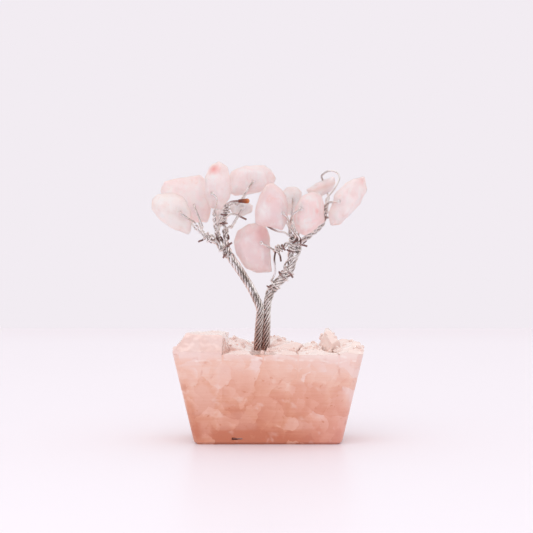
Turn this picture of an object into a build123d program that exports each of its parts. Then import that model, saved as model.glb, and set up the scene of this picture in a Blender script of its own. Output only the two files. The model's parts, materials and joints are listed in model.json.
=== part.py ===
"""Gemstone tree: a resin block packed with rose-quartz chips holds a trunk of twisted wire.

Twelve wires leave the block as two ropes of doubled strands. They part into twigs, and each
wire passes through the drilled hole of one tumbled stone and returns beside itself.
The frame has +X to the right, +Y to the back and +Z up, with its origin under the block.
"""
from build123d import *
import math
import os
from dataclasses import dataclass, field

import numpy as np
from scipy.spatial import ConvexHull, HalfspaceIntersection

# Resin block, a drafted casting
BLOCK_FOOT_WIDTH = 31.4
BLOCK_FOOT_DEPTH = 17.0
BLOCK_HEIGHT = 19.4
BLOCK_DRAFT = 12.6
BLOCK_CORNER_RADIUS = 1.6
BLOCK_FOOT_CHAMFER = 0.5

# Chips bedded in the block
CHIP_COLUMNS = 5
CHIP_ROWS = 3
CHIP_LAYERS = 3
CHIP_GAP = 0.36
CHIP_JITTER = 0.38
CHIP_FLOOR = 0.9
CHIP_LEAST = 0.8
POCKET_OVERRUN = 1.0
CROWN_BED_DEPTH = 2.6
CROWN_LEAN = (7.0, 34.0)
CROWN_RISE = (0.0, 1.5)
CROWN_FACETS = 4
CROWN_FACET_TURN = 0.5
CROWN_FACET_EASE = 0.6
CROWN_PEAK_SHIFT = 1.0

# Wire and the way it is twisted
WIRE_DIAMETER = 0.42
WIRE_SIDES = 5
STRAND_GAP = 0.045
ROPE_LAY = 7.8
FOUR_LAY = 5.4
PAIR_LAY = 3.0
KNOT_SLACK = 1.25
SEGMENTS_PER_TURN = 6
RING_STRANDS = 7
RING_EASE = 1.16
FOUR_EASE = 1.08
FORK_START = 0.4
FORK_LENGTH = 2.2
TRUNK_STEPS = 6
TRUNK_WRAP = 0.6
ROOT_HEIGHT = 2.2
SOCKET_CLEARANCE = 0.15
CHANNEL_SIDES = 8

# Legs of a wire round its stone, and the ties
LEG_STAND_OFF = 1.0
LEG_MOUTH_GAP = 0.15
LEG_BOW = 0.7
LEG_STEP = 0.75
LEG_LEAST_STEPS = 6
TIE_SEGMENTS = 7
TIE_EASE = 1.1
TAIL_STEPS = 5

# How the wires are eased apart
SETTLE_ROUNDS = 260
SETTLE_EASE_ROUNDS = 170
SETTLE_BEND_ROUNDS = 200
SETTLE_LIST_ROUNDS = 8
SETTLE_REACH = 0.5
SETTLE_MARGIN = 0.01
SETTLE_PUSH = 1.6
SETTLE_LIFT = 0.7
SETTLE_UNBEND = 0.3
SETTLE_SMOOTH = 0.35
SETTLE_NEIGHBOURS = 4
SHARPEST_TURN = 42.0

# Drilled stones
HOLE_DIAMETER = 0.80
STONE_CLEARANCE = 0.18
STONE_SWING = 8.0
DRILL_LENGTH = 40.0
STONE_RINGS = ((-0.5, 0.62), (-0.2, 0.95), (0.15, 1.0), (0.5, 0.59))
FACE_DRIFT = 0.35
FACE_SAG = 0.14
OUTLINE_WOBBLE = 0.12

# Drop of hardened glue on the end of one tie
DROP_LENGTH = 2.5
DROP_DIAMETER = 1.15
DROP_SOCKET_DEPTH = 0.5
DROP_WALL = 0.12
DROP_CLEARANCE = 0.04
DROP_SIDES = 12
DROP_RINGS = 4

# The trunk leaves the block left of its middle and forks above it
TRUNK_FOOT_X = -1.4
TRUNK_FORK_X = -0.9
TRUNK_FORK_Z = 28.6

SEED = 7


@dataclass
class Stone:
    """One drilled stone: its outline seen from the front, its place and its hole."""

    name: str
    centre: tuple
    depth: float
    outline: list
    hole: tuple
    hole_axis: tuple = (0.0, 1.0, 0.0)
    points: np.ndarray = field(default=None, repr=False)
    planes: np.ndarray = field(default=None, repr=False)


STONES = [
    Stone("a", (-20.5, -4.0, 49.7), 6.0,
          [(-4.5, 2.5), (-3, 3.7), (0, 3.9), (2.4, 3), (4, 0.4), (4.2, -3), (3.4, -4.8), (0.7, -4.2),
           (-2.7, -2), (-4.4, 0.6)], (1.8, -0.4)),
    Stone("b", (-18.1, 4.2, 52.6), 6.2,
          [(-5.6, 1.8), (-4.8, 3.8), (-2, 4.4), (3.2, 5.1), (5.4, 3.4), (5.5, -2.4), (4.6, -5.2),
           (0, -5.6), (-3.9, -3.6)], (2.0, -1.6)),
    Stone("c", (-10.8, -2.8, 55.3), 5.2,
          [(-2.9, 1.6), (-1.6, 3.9), (0.2, 5.1), (2, 3.9), (2.8, 1.1), (2.5, -2.8), (0.8, -5.1),
           (-1.5, -5), (-2.9, -2.4)], (-1.2, -1.8)),
    Stone("d", (-3.2, 3.6, 56.4), 5.8,
          [(-5.7, 0.5), (-4.7, 2.1), (-1.6, 3.4), (2.2, 3.3), (3.9, 2.3), (5.2, 0.6), (4.4, -0.7),
           (1.6, -2.4), (-1.6, -3.1), (-4.2, -3.2), (-5.5, -2.4)], (-0.1, -0.2)),
    Stone("e", (-5.8, 3.6, 50.5), 4.6,
          [(-2.5, 0.3), (-1.2, 1.3), (1.2, 1.4), (2.6, 0.6), (2.1, -0.9), (0.3, -1.7), (-1.7, -1.3)],
          (0.3, 0.0)),
    Stone("f", (0.8, -3.6, 50.6), 6.0,
          [(-1.2, 4.9), (0.3, 5.3), (2.2, 3.8), (3.5, 0.8), (3.3, -3), (2.4, -5), (-0.6, -4.1),
           (-3.4, -3.7), (-3.6, -0.9), (-2.7, 1.9)], (2.4, -1.4)),
    Stone("g", (8.8, -3.6, 49.3), 5.8,
          [(-1.4, 3.7), (0.9, 4.5), (2.6, 4), (3.2, 1.4), (3.2, -1.8), (1.2, -3.8), (-0.8, -4.7),
           (-2.9, -3.8), (-3.4, -1.5), (-3, 1.2)], (-1.7, 0.9)),
    Stone("h", (12.0, 3.6, 55.1), 4.8,
          [(-3.6, -0.7), (-1.7, 0.6), (1, 1.9), (2.5, 2.2), (2.9, 0.8), (1.8, -0.9), (-0.1, -2),
           (-2.7, -2)], (0.5, 0.0), (-0.33, 0.0, 0.94)),
    Stone("i", (16.9, -2.0, 51.7), 5.0,
          [(-2.2, 2.1), (0, 3.9), (2.2, 5.1), (3.8, 5.4), (4.4, 2.7), (3.1, -0.2), (0.2, -3.3),
           (-1.6, -5), (-3.3, -5), (-3.8, -2.6)], (-1.6, 0.0)),
    Stone("j", (-2.7, 1.2, 42.1), 5.8,
          [(-3.9, 3.5), (-1.6, 4.8), (0.8, 4.9), (2.4, 3.8), (3.1, 1.6), (2.9, -1.7), (3.4, -5.4),
           (0.4, -5.6), (-2.3, -4.7), (-4.1, -2.1), (-4.9, 0.9)], (1.2, 0.7)),
    Stone("k", (-10.5, 4.6, 48.5), 4.4,
          [(-1.1, 1.0), (-0.1, 2.3), (1.1, 1.6), (1.3, -0.9), (0.3, -2.3), (-0.9, -1.8)], (0.1, 0.0)),
    Stone("l", (5.2, 3.6, 52.5), 4.8,
          [(-2.7, 1), (-1.1, 2.5), (1.1, 2.4), (2.2, 1.5), (2.1, -1.6), (0.7, -4), (-1.6, -3.4)],
          (0.2, -0.2)),
]

# Guide lines of the branches: each list continues from the end of its parent
LEFT_ROPE = [(-3.0, -0.4, 31.7), (-4.1, -0.5, 33.7), (-5.4, -0.6, 35.8), (-7.0, -0.6, 38.1),
             (-8.4, -0.5, 40.2), (-9.6, -0.3, 41.6)]
RIGHT_ROPE = [(0.2, 0.4, 31.1), (1.1, 0.4, 32.8), (2.2, 0.4, 34.1)]
RIGHT_KNOT = [(3.4, 0.2, 35.1), (4.5, 0.0, 36.2), (4.8, 0.0, 37.8), (5.4, 0.0, 39.8), (6.1, 0.0, 41.7)]
TWIG_AB = [(-10.9, -0.6, 42.8), (-12.3, -1.0, 43.8), (-13.5, -1.0, 44.3)]
TWIG_CK = [(-10.2, 0.0, 43.1), (-10.9, -0.2, 44.6)]
TWIG_DE = [(-9.0, 0.3, 42.9), (-9.3, 0.1, 44.3), (-9.4, -0.1, 45.4)]
TWIG_FL = [(6.3, 0.1, 43.0)]
TWIG_HI = [(7.6, 0.5, 43.6), (9.3, 0.9, 44.8), (11.1, 1.1, 46.1), (12.4, 1.1, 47.8), (12.7, 1.0, 49.6)]

# The last stretch of each wire, up to the crotch where its two legs part round the stone
TIPS = {
    "a": [(-14.7, -1.4, 45.0), (-15.6, -1.7, 46.2)],
    "b": [(-14.2, 0.2, 45.1), (-14.4, 1.2, 46.2)],
    "c": [(-11.3, -0.8, 46.2), (-11.6, -1.4, 47.8), (-11.6, -2.2, 49.0)],
    "k": [(-11.0, 0.8, 45.2), (-11.0, 2.2, 45.2)],
    "d": [(-9.3, -0.5, 47.2), (-9.0, -0.5, 49.2), (-8.6, -0.5, 51.0), (-7.4, -0.4, 51.5), (-6.4, -0.2, 51.2)],
    "e": [(-8.8, 0.5, 46.0), (-8.0, 1.1, 46.3)],
    "f": [(5.5, -1.0, 44.0), (4.8, -1.8, 44.8)],
    "l": [(6.1, 0.9, 44.6), (5.6, 1.3, 46.4), (5.3, 1.6, 48.1)],
    "g": [(6.6, -0.5, 43.4), (6.7, -1.2, 43.8)],
    "h": [(12.7, 1.3, 51.0), (12.8, 1.5, 52.0)],
    "i": [(12.8, 0.7, 50.6), (13.0, 0.3, 51.5)],
    "j": [(5.4, -0.6, 42.9), (4.0, -0.8, 42.8), (2.7, -0.6, 41.9), (1.4, 0.0, 41.2)],
}

# Stops on the way of the legs that bow out round a stone or hook over it
FRONT_STOPS = {
    "c": [(-10.6, -6.0, 52.4)],
    "g": [(5.0, -3.6, 46.4), (5.4, -6.6, 49.0)],
    "f": [(4.8, -5.4, 47.6)],
    "h": [(13.4, 3.2, 52.5)],
}
BACK_STOPS = {
    "h": [(14.8, 1.5, 54.8), (15.8, 1.9, 57.2), (15.0, 2.4, 58.4), (13.4, 2.9, 58.7), (12.2, 3.4, 58.0)],
}

# Which branches each wire follows, and the places of its two strands in the rope;
# a strand with no place is cut off where the twig leaves the rope
LEFT_WIRES = [("a", [TWIG_AB], (1, 2)), ("b", [TWIG_AB], (3, None)), ("c", [TWIG_CK], (4, None)),
              ("k", [TWIG_CK], (0, None)), ("d", [TWIG_DE], (5, 6)), ("e", [TWIG_DE], (7, None))]
RIGHT_WIRES = [("h", [RIGHT_KNOT, TWIG_HI], (1, 2)), ("i", [RIGHT_KNOT, TWIG_HI], (3, None)),
               ("f", [RIGHT_KNOT, TWIG_FL], (4, None)), ("l", [RIGHT_KNOT, TWIG_FL], (0, None)),
               ("j", [RIGHT_KNOT], (5, 6)), ("g", [RIGHT_KNOT, TWIG_FL], (7, None))]

# Wire ends that splay out in the floor of the block and anchor the trunk, one of them along its front wall
ROOT_ENDS = {"d": [(-4.9, -8.3, 1.3), (-7.6, -8.61, 1.3)], "a": [(-6.4, 5.8, 1.3)], "j": [(4.2, -5.6, 1.3)],
             "h": [(4.6, 5.6, 1.3)]}

# Ties wound round the forks: place, direction, core radius, turns and the loose tail
TIES = {
    "left_fork": ((-9.2, -0.4, 41.1), (-0.7, 0.1, 0.75), 0.86, 3.0, [(-8.2, -1.5, 42.6), (-7.8, -1.6, 42.9)]),
    "twig_a": ((-13.0, -1.0, 44.1), (-0.9, 0.0, 0.4), 0.58, 3.0, [(-14.6, -1.9, 43.4), (-15.1, -2.0, 43.0)]),
    "right_low": ((4.4, 0.0, 36.1), (0.7, -0.1, 0.7), 0.92, 3.0, [(5.2, -1.4, 35.6), (5.4, -1.5, 35.3)]),
    "right_high": ((6.0, 0.0, 41.5), (0.3, 0.0, 0.95), 0.92, 3.0, [(7.6, -1.3, 42.4), (8.5, -1.3, 42.1)]),
    "twig_j": ((2.6, -0.6, 41.85), (-0.85, 0.3, -0.5), 0.46, 3.0, [(2.6, -1.2, 40.2), (2.8, -1.2, 38.8)]),
    "stem_j": ((1.5, 0.4, 33.2), (0.5, 0.0, 0.85), 0.86, 2.0,
               [(1.4, -0.8, 35.2), (1.6, -1.1, 37.2), (1.3, -1.1, 39.2), (1.6, -0.9, 40.9)]),
    "stem_f": ((5.75, -0.75, 43.6), (-0.45, -0.55, 0.7), 0.5, 2.0,
               [(4.5, -1.0, 44.9), (2.8, -1.2, 45.0), (1.1, -1.3, 45.7), (-0.2, -1.4, 46.5)]),
    "twig_e": ((-9.2, -0.5, 47.4), (0.1, 0.0, 1.0), 0.46, 2.0,
               [(-8.2, -1.3, 49.4), (-6.6, -1.1, 48.8), (-4.7, -0.6, 47.9)]),
    "twig_h": ((12.65, 1.0, 49.2), (0.1, 0.0, 1.0), 0.58, 3.0, [(12.0, 2.0, 50.2), (11.8, 2.2, 50.6)]),
    "twig_d": ((-8.95, -0.5, 49.6), (0.1, 0.0, 1.0), 0.46, 3.0,
               [(-8.3, -1.5, 51.6), (-7.4, -1.7, 51.9), (-6.0, -1.7, 51.9)]),
}
DROP_TIE = "twig_d"

# Crown chips: place of each, the height of its peak over the rim and how steep its facets are
CROWN = [(-13.0, -7.6, 4.8, 9), (-4.6, -9.0, 1.1, 20), (3.0, -9.4, 1.1, 24), (9.4, -9.2, 0.8, 14),
         (18.4, -7.2, 2.7, 30), (-18.6, 0.6, 1.7, 30), (-9.4, 0.6, 2.8, 26), (5.4, -1.4, 2.4, 34),
         (13.4, -1.4, 5.0, 50), (-15.6, 8.2, 2.2, 28), (-7.0, 8.6, 2.7, 30), (2.0, 7.4, 3.2, 34),
         (9.6, 8.0, 1.4, 22), (17.2, 7.0, 2.0, 28), (9.8, -3.2, 1.4, 24), (17.0, -0.8, 1.0, 20)]

# Faces cleft across some crown chips, by the chip's number: two points (x, z) seen from the front
CROWN_CLEFTS = {1: [((-20.1, 20.2), (-16.9, 24.2))],
                9: [((11.3, 21.0), (12.2, 23.6)), ((15.4, 21.6), (13.7, 23.7))]}

WIRE_RADIUS = WIRE_DIAMETER / 2
STRAND_PITCH = WIRE_DIAMETER + STRAND_GAP
PAIR_RADIUS = STRAND_PITCH / 2 * FOUR_EASE
RING_RADIUS = STRAND_PITCH * RING_EASE / (2 * math.sin(math.pi / RING_STRANDS))
ROPE_RADIUS = RING_RADIUS + WIRE_RADIUS
ROPE_OFFSET = ROPE_RADIUS + STRAND_GAP
ROOT_COVER = ROOT_HEIGHT + WIRE_RADIUS + CHIP_GAP
SHARPEST_COSINE = math.cos(math.radians(SHARPEST_TURN))


def unit(vector):
    """Return the vector at length one."""
    vector = np.asarray(vector, float)
    return vector / np.linalg.norm(vector)


def polyhedron(points):
    """Return the flat-faced convex solid round the points."""
    return ConvexPolyhedron([tuple(float(v) for v in p) for p in points])


# Stones

def shape_stone(stone, rng):
    """Give a stone its corner points: a full middle ring between two smaller faces."""
    outline = np.array(stone.outline, float)
    rings = []
    for level, share in STONE_RINGS:
        is_face = abs(level) == 0.5
        drift = rng.uniform(-FACE_DRIFT, FACE_DRIFT, 2) * (1 if is_face else 0)
        ring = outline * share + drift
        keep = ring[::2] if is_face else ring
        sag = rng.uniform(0.0, FACE_SAG, len(keep)) * stone.depth * -np.sign(level)
        keep = keep + rng.uniform(-OUTLINE_WOBBLE, OUTLINE_WOBBLE, keep.shape)
        rings.append(np.column_stack([keep[:, 0], stone.depth * level + sag, keep[:, 1]]))
    stone.points = np.vstack(rings) + np.array(stone.centre)
    stone.planes = ConvexHull(stone.points).equations


def hole_line(stone):
    """Return a point on the hole's axis and the direction of the axis."""
    place = np.array(stone.centre) + np.array([stone.hole[0], 0.0, stone.hole[1]])
    return place, unit(stone.hole_axis)


def hole_mouths(stone):
    """Return the two points where the hole's axis leaves the stone."""
    place, axis = hole_line(stone)
    slope = stone.planes[:, :3] @ axis
    level = -(stone.planes[:, :3] @ place + stone.planes[:, 3])
    far = min(level[slope > 1e-9] / slope[slope > 1e-9])
    near = max(level[slope < -1e-9] / slope[slope < -1e-9])
    return place + axis * near, place + axis * far


def turned_planes(stone, degrees):
    """Return the stone's face planes after it rocks about its hole."""
    place, axis = hole_line(stone)
    turn = math.radians(degrees)
    cross = np.array([[0, -axis[2], axis[1]], [axis[2], 0, -axis[0]], [-axis[1], axis[0], 0]])
    matrix = np.eye(3) + math.sin(turn) * cross + (1 - math.cos(turn)) * cross @ cross
    normals = stone.planes[:, :3] @ matrix.T
    offsets = stone.planes[:, 3] + stone.planes[:, :3] @ place - normals @ place
    return np.column_stack([normals, offsets])


def build_stone(stone):
    """Return the stone's solid with its drilled hole."""
    place, axis = hole_line(stone)
    drill = Cylinder(HOLE_DIAMETER / 2, DRILL_LENGTH)
    return polyhedron(stone.points) - Plane(origin=tuple(place), z_dir=tuple(axis)) * drill


# Wire routes

def smooth(points, rounds=3):
    """Return the line through the points with its corners cut round."""
    line = np.array(points, float)
    for _ in range(rounds):
        quarter = line[:-1] * 0.75 + line[1:] * 0.25
        three = line[:-1] * 0.25 + line[1:] * 0.75
        line = np.vstack([line[:1], np.column_stack([quarter, three]).reshape(-1, 3), line[-1:]])
    return line


def arc_lengths(line):
    """Return the distance along the line at each of its points."""
    return np.concatenate([[0.0], np.cumsum(np.linalg.norm(np.diff(line, axis=0), axis=1))])


def along(line, stations):
    """Return the points of the line at the given distances."""
    lengths = arc_lengths(line)
    return np.column_stack([np.interp(stations, lengths, line[:, k]) for k in range(3)])


def transport(points):
    """Return two cross directions at each point, carried along without twisting."""
    tangents = np.gradient(points, axis=0)
    first = np.array([1.0, 0.0, 0.0])
    firsts, seconds = [], []
    for tangent in tangents:
        tangent = unit(tangent)
        first = unit(first - tangent * (first @ tangent))
        firsts.append(first)
        seconds.append(np.cross(tangent, first))
    return np.array(firsts), np.array(seconds)


def rope_slots():
    """Return the places of the strands in a rope's section: a core and a ring round it."""
    slots = [(0.0, 0.0)]
    for strand in range(RING_STRANDS):
        swing = 2 * math.pi * strand / RING_STRANDS
        slots.append((RING_RADIUS * math.cos(swing), RING_RADIUS * math.sin(swing)))
    return np.array(slots)


def trunk_line(side):
    """Return the guide of one rope, straight in the block and wrapped a little round the other above it."""
    start = TRUNK_FOOT_X + side * ROPE_OFFSET
    line = [(start, 0.0, ROOT_HEIGHT), (start, 0.0, BLOCK_HEIGHT)]
    for step in range(1, TRUNK_STEPS + 1):
        share = step / TRUNK_STEPS
        middle = TRUNK_FOOT_X + (TRUNK_FORK_X - TRUNK_FOOT_X) * share
        height = BLOCK_HEIGHT + (TRUNK_FORK_Z - BLOCK_HEIGHT) * share
        swing = TRUNK_WRAP * share
        line.append((middle + side * ROPE_OFFSET * math.cos(swing),
                     side * ROPE_OFFSET * math.sin(swing), height))
    return line


def blend(value, low, high):
    """Return a smooth step from 0 at low to 1 at high."""
    share = np.clip((value - low) / max(high - low, 1e-6), 0.0, 1.0)
    return share * share * (3 - 2 * share)


def strand_lines(name, number, side, rope, branches, places):
    """Return the two strands of one wire from the block, or its cut end, to the crotch under its stone."""
    parts = [trunk_line(side) + rope] + branches + [TIPS[name]]
    ends, points = [], []
    for part in parts:
        points += part
        ends.append(arc_lengths(np.array(points, float))[-1])
    guide = smooth(points)
    total = arc_lengths(guide)[-1]
    ends = [end * total / ends[-1] for end in ends]
    block = BLOCK_HEIGHT - ROOT_HEIGHT
    lays = [ROPE_LAY] + [FOUR_LAY] * len(branches) + [PAIR_LAY]
    rope_end = ends[0]
    if branches[0] is RIGHT_KNOT:
        lays[1] = ROPE_LAY
        rope_end = ends[1]
    stations, phases = [0.0, block - WIRE_DIAMETER], [0.0, 0.0]
    while stations[-1] < total:
        branch = next((k for k, end in enumerate(ends) if stations[-1] < end - WIRE_DIAMETER), len(ends) - 1)
        step = lays[branch] / SEGMENTS_PER_TURN
        stations.append(stations[-1] + step)
        phases.append(phases[-1] + 2 * math.pi * step / lays[branch])
    stations[-1] = total
    stations, phases = np.array(stations), np.array(phases)
    centres = along(guide, stations)
    firsts, seconds = transport(centres)
    slots = rope_slots()
    strands = []
    for half in (0, 1):
        four = [(-1, -1), (1, -1), (1, 1), (-1, 1)][2 * (number % 2) + half]
        four_slot = np.array(four) * STRAND_PITCH / 2 * FOUR_EASE
        rope_slot = four_slot if places[half] is None else slots[places[half]]
        pair_slot = np.array([PAIR_RADIUS * (1 - 2 * half), 0.0])
        levels = [rope_slot]
        for branch in branches:
            levels.append(rope_slot * KNOT_SLACK if branch is RIGHT_KNOT else four_slot)
        levels.append(pair_slot)
        place = np.tile(levels[0], (len(stations), 1))
        for level, start in zip(levels[1:], ends[:-1]):
            share = blend(stations, start + FORK_START, start + FORK_START + FORK_LENGTH)[:, None]
            place = place * (1 - share) + level * share
        across = place[:, 0] * np.cos(phases) - place[:, 1] * np.sin(phases)
        upward = place[:, 0] * np.sin(phases) + place[:, 1] * np.cos(phases)
        strand = centres + firsts * across[:, None] + seconds * upward[:, None]
        if places[half] is None:
            strand = strand[stations > rope_end + FORK_START + FORK_LENGTH / 2]
        strands.append(strand)
    return strands


def leg_line(tip, stops, mouth, outward):
    """Return the points of one leg from the crotch to the mouth of the hole."""
    stand_off = mouth + outward * LEG_STAND_OFF
    if not stops:
        middle = (tip + stand_off) / 2
        middle = middle + outward * max(0.0, (stand_off - middle) @ outward) * LEG_BOW
        stops = [middle]
    arrival = mouth + outward * LEG_MOUTH_GAP
    line = smooth([tip] + [np.array(stop) for stop in stops] + [stand_off, arrival], 2)
    count = max(LEG_LEAST_STEPS, int(round(arc_lengths(line)[-1] / LEG_STEP)))
    return along(line, np.linspace(0.0, arc_lengths(line)[-1], count + 1))[1:]


def wire_route(stone, number, side, rope, branches, places):
    """Return the whole line of one wire and which of its points stay put."""
    first, second = strand_lines(stone.name, number, side, rope, branches, places)
    near, far = hole_mouths(stone)
    axis = hole_line(stone)[1]
    leg_near = leg_line(first[-1], FRONT_STOPS.get(stone.name, []), near, -axis)
    leg_far = leg_line(second[-1], BACK_STOPS.get(stone.name, []), far, axis)
    if stone.name in ROOT_ENDS:
        splay = np.array(ROOT_ENDS[stone.name])[::-1]
        elbow = np.array([first[0][0], first[0][1], splay[-1][2]])
        first = np.vstack([splay, [elbow], first])
    line = np.vstack([first, leg_near, leg_far[::-1], second[::-1]])
    fixed = np.zeros(len(line), bool)
    fixed[line[:, 2] < BLOCK_HEIGHT - WIRE_RADIUS] = True
    mouth = len(first) + len(leg_near)
    fixed[mouth - 2:mouth + 2] = True
    return line, fixed


def tie_route(name):
    """Return the coil of one tie wire and its loose tail."""
    place, direction, core, turns, tail = TIES[name]
    axis = unit(direction)
    first = unit(np.cross(axis, [0.0, 1.0, 0.0]))
    second = np.cross(axis, first)
    radius = core + WIRE_RADIUS + STRAND_GAP
    count = int(turns * TIE_SEGMENTS)
    line = []
    for step in range(count + 1):
        swing = 2 * math.pi * step / TIE_SEGMENTS
        lift = (step / count - 0.5) * turns * STRAND_PITCH * TIE_EASE
        line.append(np.array(place) + axis * lift
                    + radius * (first * math.cos(swing) + second * math.sin(swing)))
    onward = line[-1] + unit(line[-1] - line[-2]) * radius
    ending = smooth([line[-1], onward] + [np.array(p) for p in tail], 2)
    line += list(along(ending, np.linspace(0.0, arc_lengths(ending)[-1], TAIL_STEPS + 1))[1:])
    line = np.array(line)
    fixed = np.zeros(len(line), bool)
    fixed[-2:] = True
    return line, fixed


def closest(p0, p1, q0, q1):
    """Return where pairs of segments come closest, as shares along each, and the vector between."""
    d1, d2, r = p1 - p0, q1 - q0, p0 - q0
    a, e = np.sum(d1 * d1, 1), np.sum(d2 * d2, 1)
    f, c, b = np.sum(d2 * r, 1), np.sum(d1 * r, 1), np.sum(d1 * d2, 1)
    det = np.maximum(a * e - b * b, 1e-12)
    s = np.clip((b * f - c * e) / det, 0.0, 1.0)
    t = (b * s + f) / e
    clamped = np.clip(t, 0.0, 1.0)
    s = np.where(t == clamped, s, np.clip((b * clamped - c) / a, 0.0, 1.0))
    apart = (p0 + d1 * s[:, None]) - (q0 + d2 * clamped[:, None])
    return s, clamped, apart


def settle(routes, stones):
    """Ease the wires apart, and off the stones, until none touches another."""
    lines = [route[0] for route in routes]
    fixed = np.concatenate([route[1] for route in routes])
    start = np.vstack(lines)
    points = start.copy()
    owner = np.concatenate([np.full(len(line), k) for k, line in enumerate(lines)])
    order = np.arange(len(points))
    heads = order[:-1][owner[:-1] == owner[1:]]
    free = (~fixed).astype(float)[:, None]
    inner = np.zeros(len(points), bool)
    inner[1:-1] = (owner[1:-1] == owner[:-2]) & (owner[1:-1] == owner[2:]) & ~fixed[1:-1]
    inner = order[inner]
    faces = []
    for stone in stones:
        for degrees in (-STONE_SWING, 0.0, STONE_SWING):
            faces.append(turned_planes(stone, degrees))
    clear = WIRE_RADIUS + STONE_CLEARANCE
    pairs = None
    for turn in range(SETTLE_ROUNDS):
        if turn % SETTLE_LIST_ROUNDS == 0:
            middles = (points[heads] + points[heads + 1]) / 2
            halves = np.linalg.norm(points[heads + 1] - points[heads], axis=1) / 2
            gaps = np.linalg.norm(middles[:, None] - middles[None], axis=2)
            near = gaps < halves[:, None] + halves[None] + STRAND_PITCH + SETTLE_REACH
            one, two = np.nonzero(np.triu(near, 1))
            same = owner[heads[one]] == owner[heads[two]]
            keep = ~(same & (np.abs(heads[one] - heads[two]) < SETTLE_NEIGHBOURS))
            pairs = heads[one[keep]], heads[two[keep]]
        one, two = pairs
        s, t, apart = closest(points[one], points[one + 1], points[two], points[two + 1])
        gap = np.linalg.norm(apart, axis=1)
        deep = gap < STRAND_PITCH
        if turn > SETTLE_BEND_ROUNDS and not deep.any():
            break
        push = np.zeros_like(points)
        count = np.full((len(points), 1), 1e-9)
        shove = apart[deep] / np.maximum(gap[deep], 1e-6)[:, None]
        shove = shove * ((STRAND_PITCH + SETTLE_MARGIN - gap[deep]) / 2)[:, None]
        for index, weight, sign in ((one, 1 - s, 1), (one + 1, s, 1), (two, 1 - t, -1), (two + 1, t, -1)):
            share = weight[deep][:, None]
            np.add.at(push, index[deep], sign * shove * share * SETTLE_PUSH)
            np.add.at(count, index[deep], share)
        points += free * push / np.maximum(count, 1.0)
        for planes in faces:
            level = points @ planes[:, :3].T + planes[:, 3]
            worst = level.argmax(axis=1)
            depth = level[order, worst]
            hit = (depth < clear) & ~fixed
            points[hit] += planes[worst[hit], :3] * (clear - depth[hit])[:, None] * SETTLE_LIFT
        if turn < SETTLE_BEND_ROUNDS:
            before, after = points[inner] - points[inner - 1], points[inner + 1] - points[inner]
            bend = np.sum(before * after, 1) / np.linalg.norm(before, axis=1) / np.linalg.norm(after, axis=1)
            sharp = inner[bend < SHARPEST_COSINE]
            points[sharp] += ((points[sharp - 1] + points[sharp + 1]) / 2 - points[sharp]) * SETTLE_UNBEND
            start[sharp] += (points[sharp] - start[sharp]) * SETTLE_UNBEND
        if turn < SETTLE_EASE_ROUNDS:
            moved = points - start
            ease = (moved[inner - 1] + moved[inner + 1]) / 2 - moved[inner]
            points[inner] += ease * SETTLE_SMOOTH
    return [points[owner == k] for k in range(len(lines))]


def tube(line, radius, sides):
    """Return a many-sided rod along the line, with a mitred ring at each bend."""
    line = np.asarray(line, float)
    runs = np.diff(line, axis=0)
    runs = runs / np.linalg.norm(runs, axis=1)[:, None]
    across = unit(np.cross(runs[0], [0.3, 0.9, 0.2]))
    beside = np.cross(runs[0], across)
    angles = [2 * math.pi * k / sides for k in range(sides)]
    rings = [np.array([line[0] + radius * (across * math.cos(t) + beside * math.sin(t)) for t in angles])]
    for k in range(1, len(line)):
        normal = runs[k - 1] if k == len(line) - 1 else unit(runs[k - 1] + runs[k])
        ahead = ((line[k] - rings[-1]) @ normal) / (runs[k - 1] @ normal)
        rings.append(rings[-1] + ahead[:, None] * runs[k - 1])
    loops = [rings[0][::-1], rings[-1]]
    for low, high in zip(rings[:-1], rings[1:]):
        for k in range(sides):
            after = (k + 1) % sides
            loops.append(np.array([low[k], low[after], high[after], high[k]]))
    faces = [Face(Wire.make_polygon([tuple(float(v) for v in p) for p in loop])) for loop in loops]
    return Solid(Shell(faces))


# Resin block and the chips in it

def wall_planes(inset):
    """Return the four drafted wall planes of the block, moved inwards by the inset."""
    lean = math.radians(BLOCK_DRAFT)
    planes = []
    for axis, half in ((0, BLOCK_FOOT_WIDTH / 2), (1, BLOCK_FOOT_DEPTH / 2)):
        for sign in (1, -1):
            normal = np.zeros(3)
            normal[axis] = sign * math.cos(lean)
            normal[2] = -math.sin(lean)
            planes.append(np.append(normal, inset - half * math.cos(lean)))
    return planes


def corner_planes():
    """Return four planes that keep a chip inside the rounded upright corners."""
    lean = math.radians(BLOCK_DRAFT)
    planes = []
    for across in (1, -1):
        for deep in (1, -1):
            normal = unit([across, deep, -2 * math.tan(lean)])
            edge = np.array([across * BLOCK_FOOT_WIDTH / 2, deep * BLOCK_FOOT_DEPTH / 2, 0.0])
            cut = BLOCK_CORNER_RADIUS * (math.sqrt(2) - 1) + CHIP_GAP / 2
            planes.append(np.append(normal, cut - normal @ edge))
    return planes


def socket_plane(seed):
    """Return the plane that keeps the chip at the seed out of the trunk's socket."""
    reach = np.clip(seed[0], TRUNK_FOOT_X - ROPE_OFFSET, TRUNK_FOOT_X + ROPE_OFFSET)
    normal = np.array([seed[0] - reach, seed[1], 0.0])
    distance = np.linalg.norm(normal)
    normal = normal / distance
    limit = ROPE_RADIUS + SOCKET_CLEARANCE + CHIP_GAP
    return np.append(-normal, normal @ np.array([reach, 0.0, 0.0]) + limit), distance - limit


def cell_points(seed, others, planes):
    """Return the corners of the chip round a seed: the space nearer to it than to its neighbours."""
    rows = list(planes)
    for other in others:
        normal = unit(other - seed)
        rows.append(np.append(normal, CHIP_GAP / 2 - normal @ (seed + other) / 2))
    return HalfspaceIntersection(np.array(rows), seed).intersections


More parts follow.
